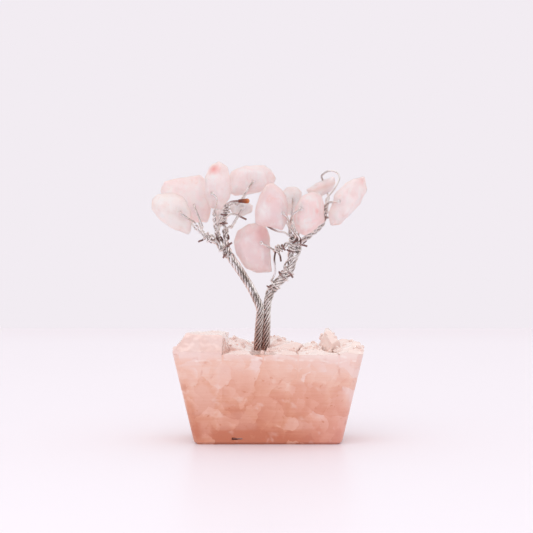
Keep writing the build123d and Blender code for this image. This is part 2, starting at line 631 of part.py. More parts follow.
def packed_seeds(rng):
    """Return the middles of the packed chips, layer by layer, on a jittered grid."""
    top = BLOCK_HEIGHT - CROWN_BED_DEPTH
    spread = math.tan(math.radians(BLOCK_DRAFT))
    layers = []
    for layer in range(CHIP_LAYERS):
        height = CHIP_FLOOR + (top - CHIP_FLOOR) * (layer + 0.5) / CHIP_LAYERS
        width = BLOCK_FOOT_WIDTH + 2 * height * spread
        depth = BLOCK_FOOT_DEPTH + 2 * height * spread
        seeds = []
        for column in range(CHIP_COLUMNS):
            for row in range(CHIP_ROWS):
                shift = rng.uniform(-CHIP_JITTER, CHIP_JITTER, 3)
                seed = np.array([((column + 0.5 + shift[0]) / CHIP_COLUMNS - 0.5) * width,
                                 ((row + 0.5 + shift[1]) / CHIP_ROWS - 0.5) * depth,
                                 height + shift[2] * (top - CHIP_FLOOR) / CHIP_LAYERS])
                seed[2] = max(seed[2], ROOT_COVER + CHIP_GAP)
                if socket_plane(seed)[1] > CHIP_LEAST:
                    seeds.append(seed)
        layers.append(seeds)
    return layers


def flat_plane(height, up):
    """Return a level plane that bounds a chip from above or below."""
    return np.array([0.0, 0.0, 1.0, -height]) if up else np.array([0.0, 0.0, -1.0, height])


def chip_pair(seed, others, low, high, extra=()):
    """Return one chip and the pocket it fills, which runs out through the walls."""
    solids = []
    for inset in (0.0, -POCKET_OVERRUN):
        planes = wall_planes(inset) + corner_planes() + [flat_plane(low, False), flat_plane(high, True)]
        planes += [socket_plane(seed)[0]] + list(extra)
        solids.append(polyhedron(cell_points(seed, others, planes)))
    return solids


def packed_floor(seed, others):
    """Return the lowest level of a packed chip: over the roots where one passes through its space."""
    normals = [unit(other - seed) for other in others]
    rows = np.array([np.append(n, CHIP_GAP / 2 - n @ (seed + o) / 2) for n, o in zip(normals, others)])
    for ends in ROOT_ENDS.values():
        root = np.array([(TRUNK_FOOT_X, 0.0, ends[0][2])] + ends)
        length = arc_lengths(root)[-1]
        points = along(root, np.arange(0.0, length, WIRE_DIAMETER))
        if (points @ rows[:, :3].T + rows[:, 3]).max(axis=1).min() < ROPE_OFFSET:
            return ROOT_COVER
    return CHIP_FLOOR


def cleft_planes(number, seed):
    """Return the faces cleft across a crown chip from front to back."""
    planes = []
    for (low_x, low_z), (high_x, high_z) in CROWN_CLEFTS.get(number, []):
        normal = unit([high_z - low_z, 0.0, low_x - high_x])
        if normal[2] < 0:
            normal = -normal
        planes.append(np.append(normal, -normal @ np.array([low_x, seed[1], low_z])))
    return planes


def crown_planes(seed, peak, steepness, rng):
    """Return the broken facets on top of a crown chip."""
    planes = []
    lean = math.radians(rng.uniform(*CROWN_LEAN))
    rim = BLOCK_HEIGHT + rng.uniform(*CROWN_RISE)
    spread = rim * math.tan(math.radians(BLOCK_DRAFT))
    for axis, half in ((0, BLOCK_FOOT_WIDTH / 2 + spread), (1, BLOCK_FOOT_DEPTH / 2 + spread)):
        for sign in (1, -1):
            normal = np.zeros(3)
            normal[axis] = sign * math.cos(lean)
            normal[2] = math.sin(lean)
            planes.append(np.append(normal, -half * math.cos(lean) - rim * math.sin(lean)))
    start = rng.uniform(0, 2 * math.pi)
    for k in range(CROWN_FACETS):
        swing = start + k * 2 * math.pi / CROWN_FACETS + rng.uniform(-CROWN_FACET_TURN, CROWN_FACET_TURN)
        tilt = math.radians(steepness * rng.uniform(CROWN_FACET_EASE, 1.0))
        out = math.sin(tilt)
        normal = np.array([out * math.cos(swing), out * math.sin(swing), math.cos(tilt)])
        shift = rng.uniform(-CROWN_PEAK_SHIFT, CROWN_PEAK_SHIFT, 2)
        top = np.array([seed[0] + shift[0], seed[1] + shift[1], BLOCK_HEIGHT + peak])
        planes.append(np.append(normal, -normal @ top))
    return planes


def build_block(pockets, wires):
    """Return the resin casting with its chip pockets, the trunk's socket and the root channels."""
    spread = 2 * BLOCK_HEIGHT * math.tan(math.radians(BLOCK_DRAFT))
    corners = []
    for height, growth in ((0.0, 0.0), (BLOCK_HEIGHT, spread)):
        for across in (-0.5, 0.5):
            for deep in (-0.5, 0.5):
                width, depth = BLOCK_FOOT_WIDTH + growth, BLOCK_FOOT_DEPTH + growth
                corners.append((across * width, deep * depth, height))
    block = polyhedron(corners)
    uprights = [edge for edge in block.edges() if abs(edge.tangent_at(0.5).Z) > 0.5]
    block = fillet(uprights, BLOCK_CORNER_RADIUS)
    block = chamfer(block.faces().sort_by(Axis.Z)[0].edges(), BLOCK_FOOT_CHAMFER)
    socket = SlotCenterToCenter(2 * ROPE_OFFSET, 2 * (ROPE_RADIUS + SOCKET_CLEARANCE))
    floor = ROOT_HEIGHT - WIRE_RADIUS - SOCKET_CLEARANCE
    tools = [Pos(TRUNK_FOOT_X, 0, floor) * extrude(socket, amount=BLOCK_HEIGHT)]
    for name, ends in ROOT_ENDS.items():
        tools.append(build_channel(wires[name][:len(ends) + 2]))
    return block - tools - pockets


def build_channel(points):
    """Return the channel that a splayed root end lies in."""
    line = np.array(points, float)
    line[0] += unit(line[0] - line[1]) * SOCKET_CLEARANCE
    return tube(line, WIRE_RADIUS + SOCKET_CLEARANCE, CHANNEL_SIDES)


def build_drop(line):
    """Return the drop that hardened round the end of its tie: a cone with a rounded nose."""
    bore = WIRE_RADIUS + DROP_CLEARANCE
    collar = bore + DROP_WALL
    nose = DROP_DIAMETER / 2
    centre = DROP_LENGTH - nose
    lean = math.asin((nose - collar) / centre)
    rings = [(collar, 0.0)]
    for rise in np.linspace(-lean, math.pi / 2, DROP_RINGS, endpoint=False):
        rings.append((nose * math.cos(rise), centre + nose * math.sin(rise)))
    points = [(0.0, 0.0, DROP_LENGTH)]
    for radius, height in rings:
        for side in range(DROP_SIDES):
            swing = 2 * math.pi * side / DROP_SIDES
            points.append((radius * math.cos(swing), radius * math.sin(swing), height))
    drop = polyhedron(points) - Cylinder(bore, 2 * DROP_SOCKET_DEPTH)
    axis = unit(line[-1] - line[-2])
    seat = line[-1] - axis * (DROP_SOCKET_DEPTH - DROP_CLEARANCE)
    return Plane(origin=tuple(seat), z_dir=tuple(axis)) * drop


def main():
    """Build every piece and write one file for each."""
    os.makedirs("parts", exist_ok=True)
    rng = np.random.default_rng(SEED)
    nodes = {}
    for stone in STONES:
        shape_stone(stone, rng)
        nodes[f"stone_{stone.name}"] = build_stone(stone)
    by_name = {stone.name: stone for stone in STONES}
    names, routes = [], []
    for side, rope, group in ((-1, LEFT_ROPE, LEFT_WIRES), (1, RIGHT_ROPE, RIGHT_WIRES)):
        for number, (name, branches, places) in enumerate(group):
            names.append(name)
            routes.append(wire_route(by_name[name], number, side, rope, branches, places))
    for name in TIES:
        names.append(f"tie_{name}")
        routes.append(tie_route(name))
    lines = dict(zip(names, settle(routes, STONES)))
    for name, line in lines.items():
        label = name if name.startswith("tie_") else f"wire_{name}"
        nodes[label] = tube(line, WIRE_RADIUS, WIRE_SIDES)
    nodes["amber_drop"] = build_drop(lines[f"tie_{DROP_TIE}"])
    pockets = []
    layers = packed_seeds(rng)
    crown = [np.array([x, y, BLOCK_HEIGHT]) for x, y, _, _ in CROWN]
    seeds = [seed for layer in layers for seed in layer] + crown
    for layer, label in zip(layers, ("lower", "middle", "upper")):
        chips = []
        for seed in layer:
            others = [other for other in seeds if other is not seed]
            chip, pocket = chip_pair(seed, others, packed_floor(seed, others), BLOCK_HEIGHT)
            chips.append(chip)
            pockets.append(pocket)
        nodes[f"packed_chips_{label}"] = Compound(children=chips)
    for number, (seed, (_, _, peak, steepness)) in enumerate(zip(crown, CROWN), 1):
        others = [other for other in seeds if other is not seed]
        facets = crown_planes(seed, peak, steepness, rng) + cleft_planes(number, seed)
        chip, pocket = chip_pair(seed, others, CHIP_FLOOR, BLOCK_HEIGHT + peak, facets)
        nodes[f"crown_chip_{number:02d}"] = chip
        pockets.append(pocket)
    nodes["resin_casting"] = build_block(pockets, lines)
    for name, solid in nodes.items():
        export_step(solid, f"parts/{name}.step")


if __name__ == "__main__":
    main()
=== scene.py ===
"""A gemstone tree on a resin block, dressed over its CAD frame.

The stones are tumbled rose quartz, the block is broken rose quartz bedded in casting resin, and
the tree is silver-plated craft wire. Meshes are shaped in millimetres and brought to metres at
the end, and MM is one millimetre in metres.
"""

import json
import logging
import math
import random
from dataclasses import dataclass, field
from enum import Enum

import bmesh
import bpy
from bmesh.types import BMesh, BMFace
from bpy.types import Material, Mesh, Node, NodeSocket, NodeTree, Object
from mathutils import Matrix, Vector, kdtree, noise

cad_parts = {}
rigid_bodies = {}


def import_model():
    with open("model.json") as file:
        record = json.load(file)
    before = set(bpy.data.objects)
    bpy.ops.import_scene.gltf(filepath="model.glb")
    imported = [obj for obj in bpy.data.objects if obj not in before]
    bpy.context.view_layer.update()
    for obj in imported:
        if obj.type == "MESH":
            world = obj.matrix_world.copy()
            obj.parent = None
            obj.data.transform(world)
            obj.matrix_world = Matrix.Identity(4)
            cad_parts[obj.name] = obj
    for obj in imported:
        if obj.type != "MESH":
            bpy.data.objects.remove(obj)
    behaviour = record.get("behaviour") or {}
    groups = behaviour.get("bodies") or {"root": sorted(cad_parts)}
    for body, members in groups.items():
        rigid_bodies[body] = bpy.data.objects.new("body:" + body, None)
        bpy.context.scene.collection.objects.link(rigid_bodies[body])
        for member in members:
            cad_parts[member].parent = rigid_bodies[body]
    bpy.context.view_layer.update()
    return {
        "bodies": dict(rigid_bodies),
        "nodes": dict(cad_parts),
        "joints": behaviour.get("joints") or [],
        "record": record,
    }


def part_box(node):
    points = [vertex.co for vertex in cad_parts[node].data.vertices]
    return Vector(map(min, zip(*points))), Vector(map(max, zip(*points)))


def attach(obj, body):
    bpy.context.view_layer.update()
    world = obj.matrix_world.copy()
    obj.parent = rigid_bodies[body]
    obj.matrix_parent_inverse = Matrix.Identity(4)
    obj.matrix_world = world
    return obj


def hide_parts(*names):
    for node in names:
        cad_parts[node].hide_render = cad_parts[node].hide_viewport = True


MM = 0.001
MERGE_MM = 0.002
PLACE_DIGITS = 4
TREE_BODY = "tree"
CASTING = "resin_casting"
SMOOTH = {"interpolation_type": "SMOOTHSTEP"}
LOG = logging.getLogger("gemstone_tree")


def linear(code: str) -> tuple[float, float, float, float]:
    """Turn an sRGB hex colour into the linear colour that shaders take.

    Args:
        code: Six hex digits with a leading #.

    Returns:
        Linear red, green and blue with an alpha of 1.
    """
    parts = [int(code[k:k + 2], 16) / 255 for k in (1, 3, 5)]
    values = [p / 12.92 if p <= 0.04045 else ((p + 0.055) / 1.055) ** 2.4 for p in parts]
    return (*values, 1.0)


def clamped(value: float) -> float:
    """Keep a share between 0 and 1."""
    return max(0.0, min(1.0, value))


def set_inputs(tree: NodeTree, node: Node, inputs: dict) -> None:
    """Set a node's inputs to values, or link them to output sockets.

    Args:
        tree: The node tree that holds the node.
        node: The node.
        inputs: Values or output sockets, by socket name or number.
    """
    for name, value in inputs.items():
        if isinstance(value, NodeSocket):
            tree.links.new(value, node.inputs[name])
        else:
            node.inputs[name].default_value = value


def add_node(tree: NodeTree, kind: str, settings: dict | None = None, inputs: dict | None = None,
             stops: tuple[tuple[float, str], ...] = ()) -> Node:
    """Add one node with its settings and its links.

    Args:
        tree: The node tree that gets the node.
        kind: The node's type name.
        settings: Attributes of the node itself.
        inputs: Values or output sockets for its inputs, by socket name or number.
        stops: The positions and sRGB hex colours of a colour ramp, in order.

    Returns:
        The new node.
    """
    node = tree.nodes.new(kind)
    for name, value in (settings or {}).items():
        setattr(node, name, value)
    set_inputs(tree, node, inputs or {})
    if stops:
        elements = node.color_ramp.elements
        while len(elements) < len(stops):
            elements.new(0.5)
        for element, (place, code) in zip(elements, stops):
            element.position = place
            element.color = linear(code)
    return node


def lay_coats(tree: NodeTree, base: NodeSocket | tuple,
              coats: list[tuple[NodeSocket, NodeSocket | str]]) -> NodeSocket:
    """Lay colours over a base, each by a share of its own.

    Args:
        tree: The node tree that holds the colours.
        base: The colour beneath, or the socket that gives it.
        coats: The share and the colour of each coat, from the lowest up.

    Returns:
        The socket of the colour that shows.
    """
    for share, colour in coats:
        mix = add_node(tree, "ShaderNodeMix", {"data_type": "RGBA"}, {
            "Factor": share, "A": base, "B": linear(colour) if isinstance(colour, str) else colour})
        base = mix.outputs["Result"]
    return base


def new_material(name: str) -> tuple[Material, NodeTree, Node, NodeSocket]:
    """Make a node material.

    Args:
        name: The material's name.

    Returns:
        The material, its node tree, its Principled shader and the Object coordinates.
    """
    material = bpy.data.materials.new(name)
    material.use_nodes = True
    tree = material.node_tree
    place = add_node(tree, "ShaderNodeTexCoord").outputs["Object"]
    return material, tree, tree.nodes["Principled BSDF"], place


def new_shaping(name: str, sizes: dict[str, str]) -> tuple[NodeTree, bpy.types.NodeOutputs]:
    """Make a Geometry Nodes tree with a geometry, named sizes and a finish as its inputs.

    Args:
        name: The tree's name.
        sizes: The socket types of its sizes, by name.

    Returns:
        The tree and the sockets that give its inputs.
    """
    tree = bpy.data.node_groups.new(name, "GeometryNodeTree")
    kinds = {"Geometry": "NodeSocketGeometry"} | sizes | {"Finish": "NodeSocketMaterial"}
    for label, kind in kinds.items():
        tree.interface.new_socket(label, in_out="INPUT", socket_type=kind)
    tree.interface.new_socket("Geometry", in_out="OUTPUT", socket_type="NodeSocketGeometry")
    return tree, add_node(tree, "NodeGroupInput").outputs


def end_shaping(tree: NodeTree, shape: NodeSocket, finish: NodeSocket) -> None:
    """End a Geometry Nodes tree with real geometry that wears its finish.

    Args:
        tree: The tree.
        shape: The socket that gives its geometry.
        finish: The socket that gives its material.
    """
    solid = add_node(tree, "GeometryNodeRealizeInstances", inputs={"Geometry": shape})
    painted = add_node(tree, "GeometryNodeSetMaterial", inputs={
        "Geometry": solid.outputs["Geometry"], "Material": finish})
    add_node(tree, "NodeGroupOutput", inputs={"Geometry": painted.outputs["Geometry"]})


def plain_mesh(name: str, mesh: BMesh) -> Mesh:
    """Turn a bmesh into a mesh.

    Args:
        name: The mesh's name.
        mesh: The bmesh; it is freed.

    Returns:
        The mesh.
    """
    data = bpy.data.meshes.new(name)
    mesh.to_mesh(data)
    mesh.free()
    return data


def make_holder(name: str, mesh: Mesh) -> Object:
    """Put a mesh in the scene on an object that modifiers can work on.

    Args:
        name: The object's name.
        mesh: Its mesh.

    Returns:
        The new object.
    """
    holder = bpy.data.objects.new(name, mesh)
    bpy.context.scene.collection.objects.link(holder)
    return holder


def baked_mesh(holder: Object) -> Mesh:
    """Apply an object's modifiers.

    Args:
        holder: The object; it is removed.

    Returns:
        The plain mesh that the modifiers give.
    """
    graph = bpy.context.evaluated_depsgraph_get()
    mesh = bpy.data.meshes.new_from_object(holder.evaluated_get(graph))
    bpy.data.objects.remove(holder)
    return mesh


def shaped_mesh(name: str, mesh: Mesh, tree: NodeTree, values: dict) -> Mesh:
    """Run a Geometry Nodes tree on a mesh.

    Args:
        name: The name of the working object.
        mesh: The mesh that the tree starts from, in millimetres.
        tree: The tree.
        values: Its sizes and its finish, by input name.

    Returns:
        The plain mesh that it gives, in millimetres.
    """
    holder = make_holder(name, mesh)
    modifier = holder.modifiers.new("shaping", "NODES")
    modifier.node_group = tree
    keys = {item.name: item.identifier for item in tree.interface.items_tree if item.in_out == "INPUT"}
    for label, value in values.items():
        modifier[keys[label]] = value
    return baked_mesh(holder)


def merged_copy(node: Object) -> BMesh:
    """Copy a CAD node's mesh, in millimetres, with its loose triangles joined.

    Args:
        node: The CAD node's object.

    Returns:
        The joined copy.
    """
    mesh = bmesh.new()
    mesh.from_mesh(node.data)
    bmesh.ops.scale(mesh, vec=(1 / MM, 1 / MM, 1 / MM), verts=mesh.verts)
    bmesh.ops.remove_doubles(mesh, verts=mesh.verts, dist=MERGE_MM)
    return mesh


def islands(mesh: BMesh) -> list[list[BMFace]]:
    """Find the separate shells of a mesh.

    Args:
        mesh: The mesh, which stays as it is.

    Returns:
        The faces of each shell.
    """
    seen: set[int] = set()
    found = []
    mesh.faces.ensure_lookup_table()
    mesh.faces.index_update()
    for face in mesh.faces:
        if face.index in seen:
            continue
        seen.add(face.index)
        shell, queue = [], [face]
        while queue:
            here = queue.pop()
            shell.append(here)
            for edge in here.edges:
                for other in edge.link_faces:
                    if other.index not in seen:
                        seen.add(other.index)
                        queue.append(other)
        found.append(shell)
    return found


def tumbled_mesh(name: str, mesh: BMesh, voxel: float, rounds: int) -> Mesh:
    """Wear down a closed mesh as a tumbler does.

    Args:
        name: The name of the working object.
        mesh: The sharp mesh, in millimetres; it is freed.
        voxel: The size of the new faces, in millimetres.
        rounds: How often the surface is smoothed.

    Returns:
        The worn mesh, in millimetres.
    """
    holder = make_holder(name, plain_mesh(name, mesh))
    remesh = holder.modifiers.new("grain", "REMESH")
    remesh.mode = "VOXEL"
    remesh.voxel_size = voxel
    wear = holder.modifiers.new("wear", "SMOOTH")
    wear.factor = 0.5
    wear.iterations = rounds
    return baked_mesh(holder)


def node_corners(frame: dict, starts: tuple[str, ...]) -> list[Vector]:
    """Return the corners, in millimetres, of the CAD nodes whose names start in one of some ways.

    Args:
        frame: The loaded frame.
        starts: How the names start.

    Returns:
        The corners, node after node in order of name.
    """
    nodes = [frame["nodes"][n] for n in sorted(frame["nodes"]) if n.startswith(starts)]
    return [v.co / MM for node in nodes for v in node.data.vertices]


def wire_points(frame: dict) -> kdtree.KDTree:
    """Gather the corners of every CAD wire and tie, to measure distances from.

    Args:
        frame: The loaded frame.

    Returns:
        The corners, in millimetres.
    """
    points = node_corners(frame, WireTree.starts)
    tree = kdtree.KDTree(len(points))
    for number, point in enumerate(points):
        tree.insert(point, number)
    tree.balance()
    return tree


def ripple(mesh: Mesh, layers: tuple[tuple[float, float], ...], shift: Vector, swell: float = 0.0,
           above: float = -math.inf, clear: kdtree.KDTree | None = None, room: float = 0.0) -> None:
    """Raise and lower a surface along its normals by layers of noise.

    Args:
        mesh: The mesh, in millimetres.
        layers: The width and the height of each layer's bumps, in millimetres.
        shift: A place in the noise, so that no two pieces are alike.
        swell: How far the whole surface is raised, in millimetres.
        above: The height where the change begins; it is full one millimetre higher.
        clear: Points near which the surface is raised less.
        room: How near that is, in millimetres; at half of it, nothing is raised.
    """
    moves = []
    for vertex in mesh.vertices:
        lift = swell + sum(high * noise.noise((vertex.co + shift) / wide) for wide, high in layers)
        if clear and lift > 0.0:
            lift *= clamped(2.0 * clear.find(vertex.co)[2] / room - 1.0)
        moves.append(vertex.co + vertex.normal * lift * clamped(vertex.co.z - above))
    for vertex, place in zip(mesh.vertices, moves):
        vertex.co = place
    mesh.update()


def set_attribute(mesh: Mesh, name: str, values: list[float]) -> None:
    """Write one number for each vertex of a mesh as an attribute for its material."""
    layer = mesh.attributes.new(name, "FLOAT", "POINT")
    layer.data.foreach_set("value", values)


def finish_piece(name: str, mesh: Mesh, material: Material, body: str, nodes: list[str]) -> None:
    """Put a mesh in the scene as one finished piece that stands for CAD nodes.

    Args:
        name: The piece's name.
        mesh: Its mesh, in millimetres.
        material: Its finish.
        body: The body it moves with.
        nodes: The CAD nodes it stands for.
    """
    mesh.transform(Matrix.Scale(MM, 4))
    mesh.materials.clear()
    mesh.materials.append(material)
    piece = bpy.data.objects.new(name, mesh)
    bpy.context.scene.collection.objects.link(piece)
    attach(piece, body)
    if nodes:
        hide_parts(*nodes)
    LOG.info("%s: %d faces on %s", name, len(mesh.polygons), body)


class Tone(Enum):
    """The four casts of pink among the drilled stones."""

    MILKY = "#FDF4F1"
    PEARL = "#FEEDEC"
    BLUSH = "#FFE6E5"
    ROSY = "#F4E1E1"


@dataclass(frozen=True)
class TumbledQuartz:
    """Tumbled rose quartz: milky and waxy, flushed peach at its thin edges, with faint veils inside.

    Its IOR is kept near that of air, because a stone this small and milky lets light through nearly
    straight and doesn't bend dark rims into view.
    """

    name: str
    cast: Tone
    milk: str = "#FDF9F7"
    deep: str = "#F0D6D3"
    flush: str = "#F1C9BB"
    stain: str = "#EE8A80"
    cloud_mm: float = 3.2
    streak_mm: float = 0.8
    fleck_mm: float = 1.3
    pit_mm: float = 0.7
    pit_depth_mm: float = 0.06
    scatter_mm: float = 3.5

    def make(self) -> Material:
        """Make the stone material, which reads the stain and rim attributes of its mesh.

        Returns:
            The material.
        """
        material, tree, shader, place = new_material(self.name)
        clouds = add_node(tree, "ShaderNodeTexNoise", inputs={
            "Vector": place, "Scale": 1 / (self.cloud_mm * MM), "Detail": 4.0, "Roughness": 0.5,
            "Distortion": 0.5}).outputs["Fac"]
        veil = add_node(tree, "ShaderNodeMapRange", inputs={
            "Value": clouds, "From Min": 0.5, "From Max": 0.66, "To Max": 0.8})
        depth = add_node(tree, "ShaderNodeMapRange", inputs={
            "Value": clouds, "From Min": 0.48, "From Max": 0.3, "To Max": 0.6})
        stretched = add_node(tree, "ShaderNodeMapping", inputs={
            "Vector": place, "Rotation": (0.3, 0.5, 0.2), "Scale": (1.0, 1.0, 0.22)})
        streaks = add_node(tree, "ShaderNodeTexNoise", inputs={
            "Vector": stretched.outputs["Vector"], "Scale": 1 / (self.streak_mm * MM), "Detail": 3.0})
        streak = add_node(tree, "ShaderNodeMapRange", inputs={
            "Value": streaks.outputs["Fac"], "From Min": 0.52, "From Max": 0.7, "To Max": 0.55})
        grains = add_node(tree, "ShaderNodeTexNoise", inputs={
            "Vector": place, "Scale": 1 / (self.fleck_mm * MM), "Detail": 3.0, "Distortion": 1.0})
        fleck = add_node(tree, "ShaderNodeMapRange", SMOOTH, {
            "Value": grains.outputs["Fac"], "From Min": 0.58, "From Max": 0.74, "To Max": 0.35})
        rim = add_node(tree, "ShaderNodeAttribute", {"attribute_name": "rim"})
        thin = add_node(tree, "ShaderNodeMath", {"operation": "MULTIPLY"}, {0: rim.outputs["Fac"], 1: clouds})
        spots = add_node(tree, "ShaderNodeAttribute", {"attribute_name": "stain"})
        base = lay_coats(tree, linear(self.cast.value), [
            (veil.outputs["Result"], self.milk), (depth.outputs["Result"], self.deep),
            (streak.outputs["Result"], self.milk), (fleck.outputs["Result"], self.flush),
            (thin.outputs["Value"], self.flush), (spots.outputs["Fac"], self.stain)])
        pits = add_node(tree, "ShaderNodeTexNoise", inputs={
            "Vector": place, "Scale": 1 / (self.pit_mm * MM), "Detail": 3.0})
        bump = add_node(tree, "ShaderNodeBump", inputs={
            "Height": pits.outputs["Fac"], "Strength": 0.25, "Distance": self.pit_depth_mm * MM})
        set_inputs(tree, shader, {
            "Base Color": base, "Normal": bump.outputs["Normal"], "Roughness": 0.5, "IOR": 1.05,
            "Transmission Weight": 0.5, "Coat Weight": 0.5, "Coat Roughness": 0.35,
            "Subsurface Weight": 1.0, "Subsurface Radius": (1.0, 0.8, 0.75),
            "Subsurface Scale": self.scatter_mm * MM})
        return material


@dataclass(frozen=True)
class BlockFinish:
    """What the resin and all its chips share: a warm peach, paler at the top and sides, deep at the foot. The
    paler top is painted light, standing in for light glowing through the thin upper chips.

    Shards are chips that show dimly in the depth. Splinters are smaller ones, sized and toned as shares of
    the shards, and the last few values are shares of a shard's own size or tone.
    """

    name: str
    foot: str = "#C97A5C"
    low: str = "#D99578"
    middle: str = "#E5AD95"
    high: str = "#EDC2B0"
    crest: str = "#F0D2C9"
    rose: str = "#E3A096"
    seam: str = "#C9714E"
    height_mm: float = 23.0
    half_mm: float = 19.0
    deep_mm: float = -8.0
    pale_mm: float = 27.0
    rose_from_mm: float = 3.0
    rose_top_mm: float = 14.0
    rose_full_mm: float = 2.0
    drift_mm: float = 7.0
    drift_depth: float = 0.45
    streak_mm: float = 0.45
    streak_depth: float = 0.3
    shard_mm: float = 6.2
    shard_depth: float = 0.75
    shard_line: float = 0.45
    shard_line_mm: float = 3.0
    splinter_size: float = 0.4
    splinter_depth: float = 0.35
    patch_edge: float = 0.18
    bend: float = 0.6
    fade: float = 0.16
    line: float = 0.06
    darkest: float = 0.3

    def shared_colour(self, tree: NodeTree, place: NodeSocket) -> NodeSocket:
        """Add the colour that all of the block has at a place.

        Args:
            tree: The material's node tree.
            place: The Object coordinates.

        Returns:
            The colour socket.
        """
        drift = add_node(tree, "ShaderNodeTexNoise", inputs={
            "Vector": place, "Scale": 1 / (self.drift_mm * MM), "Detail": 6.0, "Roughness": 0.62,
            "Distortion": 0.8}).outputs["Fac"]
        flat = add_node(tree, "ShaderNodeMapping", inputs={
            "Vector": place, "Rotation": (0.0, 0.04, 0.0), "Scale": (0.07, 0.07, 1.0)})
        grain = add_node(tree, "ShaderNodeTexNoise", inputs={
            "Vector": flat.outputs["Vector"], "Scale": 1 / (self.streak_mm * MM), "Detail": 3.0,
            "Roughness": 0.6}).outputs["Fac"]
        parts = add_node(tree, "ShaderNodeSeparateXYZ", inputs={"Vector": place}).outputs
        # The colour rises with height from foot to crest; the paler top is painted light, standing in for
        # light glowing through the thin chips near the rim.
        level = add_node(tree, "ShaderNodeMapRange", {"clamp": False}, {
            "Value": parts["Z"], "From Max": self.height_mm * MM, "To Min": -0.56,
            "To Max": 0.57}).outputs["Result"]
        shifted = add_node(tree, "ShaderNodeMath", {"operation": "SUBTRACT"}, {
            0: parts["X"], 1: self.deep_mm * MM})
        off = add_node(tree, "ShaderNodeMath", {"operation": "ABSOLUTE"}, {0: shifted.outputs["Value"]})
        side = add_node(tree, "ShaderNodeMapRange", inputs={
            "Value": off.outputs["Value"], "From Max": self.pale_mm * MM, "To Max": 0.25}).outputs["Result"]
        large, edge = self.shards(tree, place, self.shard_mm)
        small, _ = self.shards(tree, place, self.splinter_size * self.shard_mm)
        weights = ((drift, self.drift_depth), (grain, self.streak_depth), (side, 1.0),
                   (large, self.shard_depth), (small, self.splinter_depth * self.shard_depth))
        for term, weight in weights:
            level = add_node(tree, "ShaderNodeMath", {"operation": "MULTIPLY_ADD"}, {
                0: term, 1: weight, 2: level}).outputs["Value"]
        colour = add_node(tree, "ShaderNodeValToRGB", inputs={"Fac": level}, stops=(
            (0.0, self.foot), (0.25, self.low), (0.5, self.middle), (0.75, self.high), (1.0, self.crest)))
        right = add_node(tree, "ShaderNodeMapRange", SMOOTH, {
            "Value": parts["X"], "From Min": self.rose_from_mm * MM, "From Max": self.half_mm * MM,
            "To Max": 0.6})
        down = add_node(tree, "ShaderNodeMapRange", SMOOTH, {
            "Value": parts["Z"], "From Min": self.rose_top_mm * MM, "From Max": self.rose_full_mm * MM})
        corner = add_node(tree, "ShaderNodeMath", {"operation": "MULTIPLY"}, {
            0: right.outputs["Result"], 1: down.outputs["Result"]})
        return lay_coats(tree, colour.outputs["Color"], [
            (edge, self.seam), (corner.outputs["Value"], self.rose)])

    def shards(self, tree: NodeTree, place: NodeSocket, size_mm: float) -> tuple[NodeSocket, NodeSocket]:
        """Add the chips that show dimly in the depth, each clear at one side and lost at the other.

        Args:
            tree: The material's node tree.
            place: The Object coordinates.
            size_mm: The size of the chips.

        Returns:
            The tone of the chip at a place, and the share of the broken line at its edge.
        """
        size = size_mm * MM
        warp = add_node(tree, "ShaderNodeTexNoise", inputs={
            "Vector": place, "Scale": 1 / (self.bend * size), "Detail": 3.0})
        bent = add_node(tree, "ShaderNodeVectorMath", {"operation": "MULTIPLY_ADD"}, {
            0: warp.outputs["Color"], 1: (self.bend * size,) * 3, 2: place}).outputs["Vector"]
        cells = add_node(tree, "ShaderNodeTexVoronoi", inputs={"Vector": bent, "Scale": 1 / size})
        value = add_node(tree, "ShaderNodeSeparateColor", inputs={"Color": cells.outputs["Color"]})
        middle = add_node(tree, "ShaderNodeMath", {"operation": "SUBTRACT"}, {
            0: value.outputs["Red"], 1: self.darkest})
        off = add_node(tree, "ShaderNodeVectorMath", {"operation": "SUBTRACT"}, {
            0: bent, 1: cells.outputs["Position"]})
        ways = add_node(tree, "ShaderNodeVectorMath", {"operation": "SUBTRACT"}, {
            0: cells.outputs["Color"], 1: (0.5, 0.5, 0.5)})
        lean = add_node(tree, "ShaderNodeVectorMath", {"operation": "DOT_PRODUCT"}, {
            0: off.outputs["Vector"], 1: ways.outputs["Vector"]})
        fade = add_node(tree, "ShaderNodeMapRange", SMOOTH, {
            "Value": lean.outputs["Value"], "From Min": -self.fade * size, "From Max": self.fade * size})
        tone = add_node(tree, "ShaderNodeMath", {"operation": "MULTIPLY"}, {
            0: middle.outputs["Value"], 1: fade.outputs["Result"]})
        borders = add_node(tree, "ShaderNodeTexVoronoi", {"feature": "DISTANCE_TO_EDGE"}, {
            "Vector": bent, "Scale": 1 / size}).outputs["Distance"]
        line = add_node(tree, "ShaderNodeMapRange", inputs={
            "Value": borders, "From Min": self.line, "From Max": 0.0})
        edge = add_node(tree, "ShaderNodeMath", {"operation": "MULTIPLY"}, {
            0: line.outputs["Result"],
            1: self.patches(tree, place, self.shard_line_mm, 0.5, self.shard_line)})
        return tone.outputs["Value"], edge.outputs["Value"]

    def patches(self, tree: NodeTree, place: NodeSocket, size_mm: float, start: float,
                strength: float) -> NodeSocket:
        """Add soft patches where a noise is at its highest.

        Args:
            tree: The material's node tree.
            place: The Object coordinates.
            size_mm: The size of the noise.
            start: The noise where a patch begins.
            strength: The patches' share of colour at their middle.

        Returns:
            The factor socket.
        """
        cover = add_node(tree, "ShaderNodeTexNoise", inputs={
            "Vector": place, "Scale": 1 / (size_mm * MM), "Detail": 2.0, "Distortion": 0.3})
        patch = add_node(tree, "ShaderNodeMapRange", SMOOTH, {
            "Value": cover.outputs["Fac"], "From Min": start, "From Max": start + self.patch_edge,
            "To Max": strength})
        return patch.outputs["Result"]

    def gloss(self) -> dict[str, float]:
        """Return the polished surface that the resin and its chips share."""
        return {"Roughness": 0.32, "IOR": 1.5, "Coat Weight": 0.4, "Coat Roughness": 0.1}


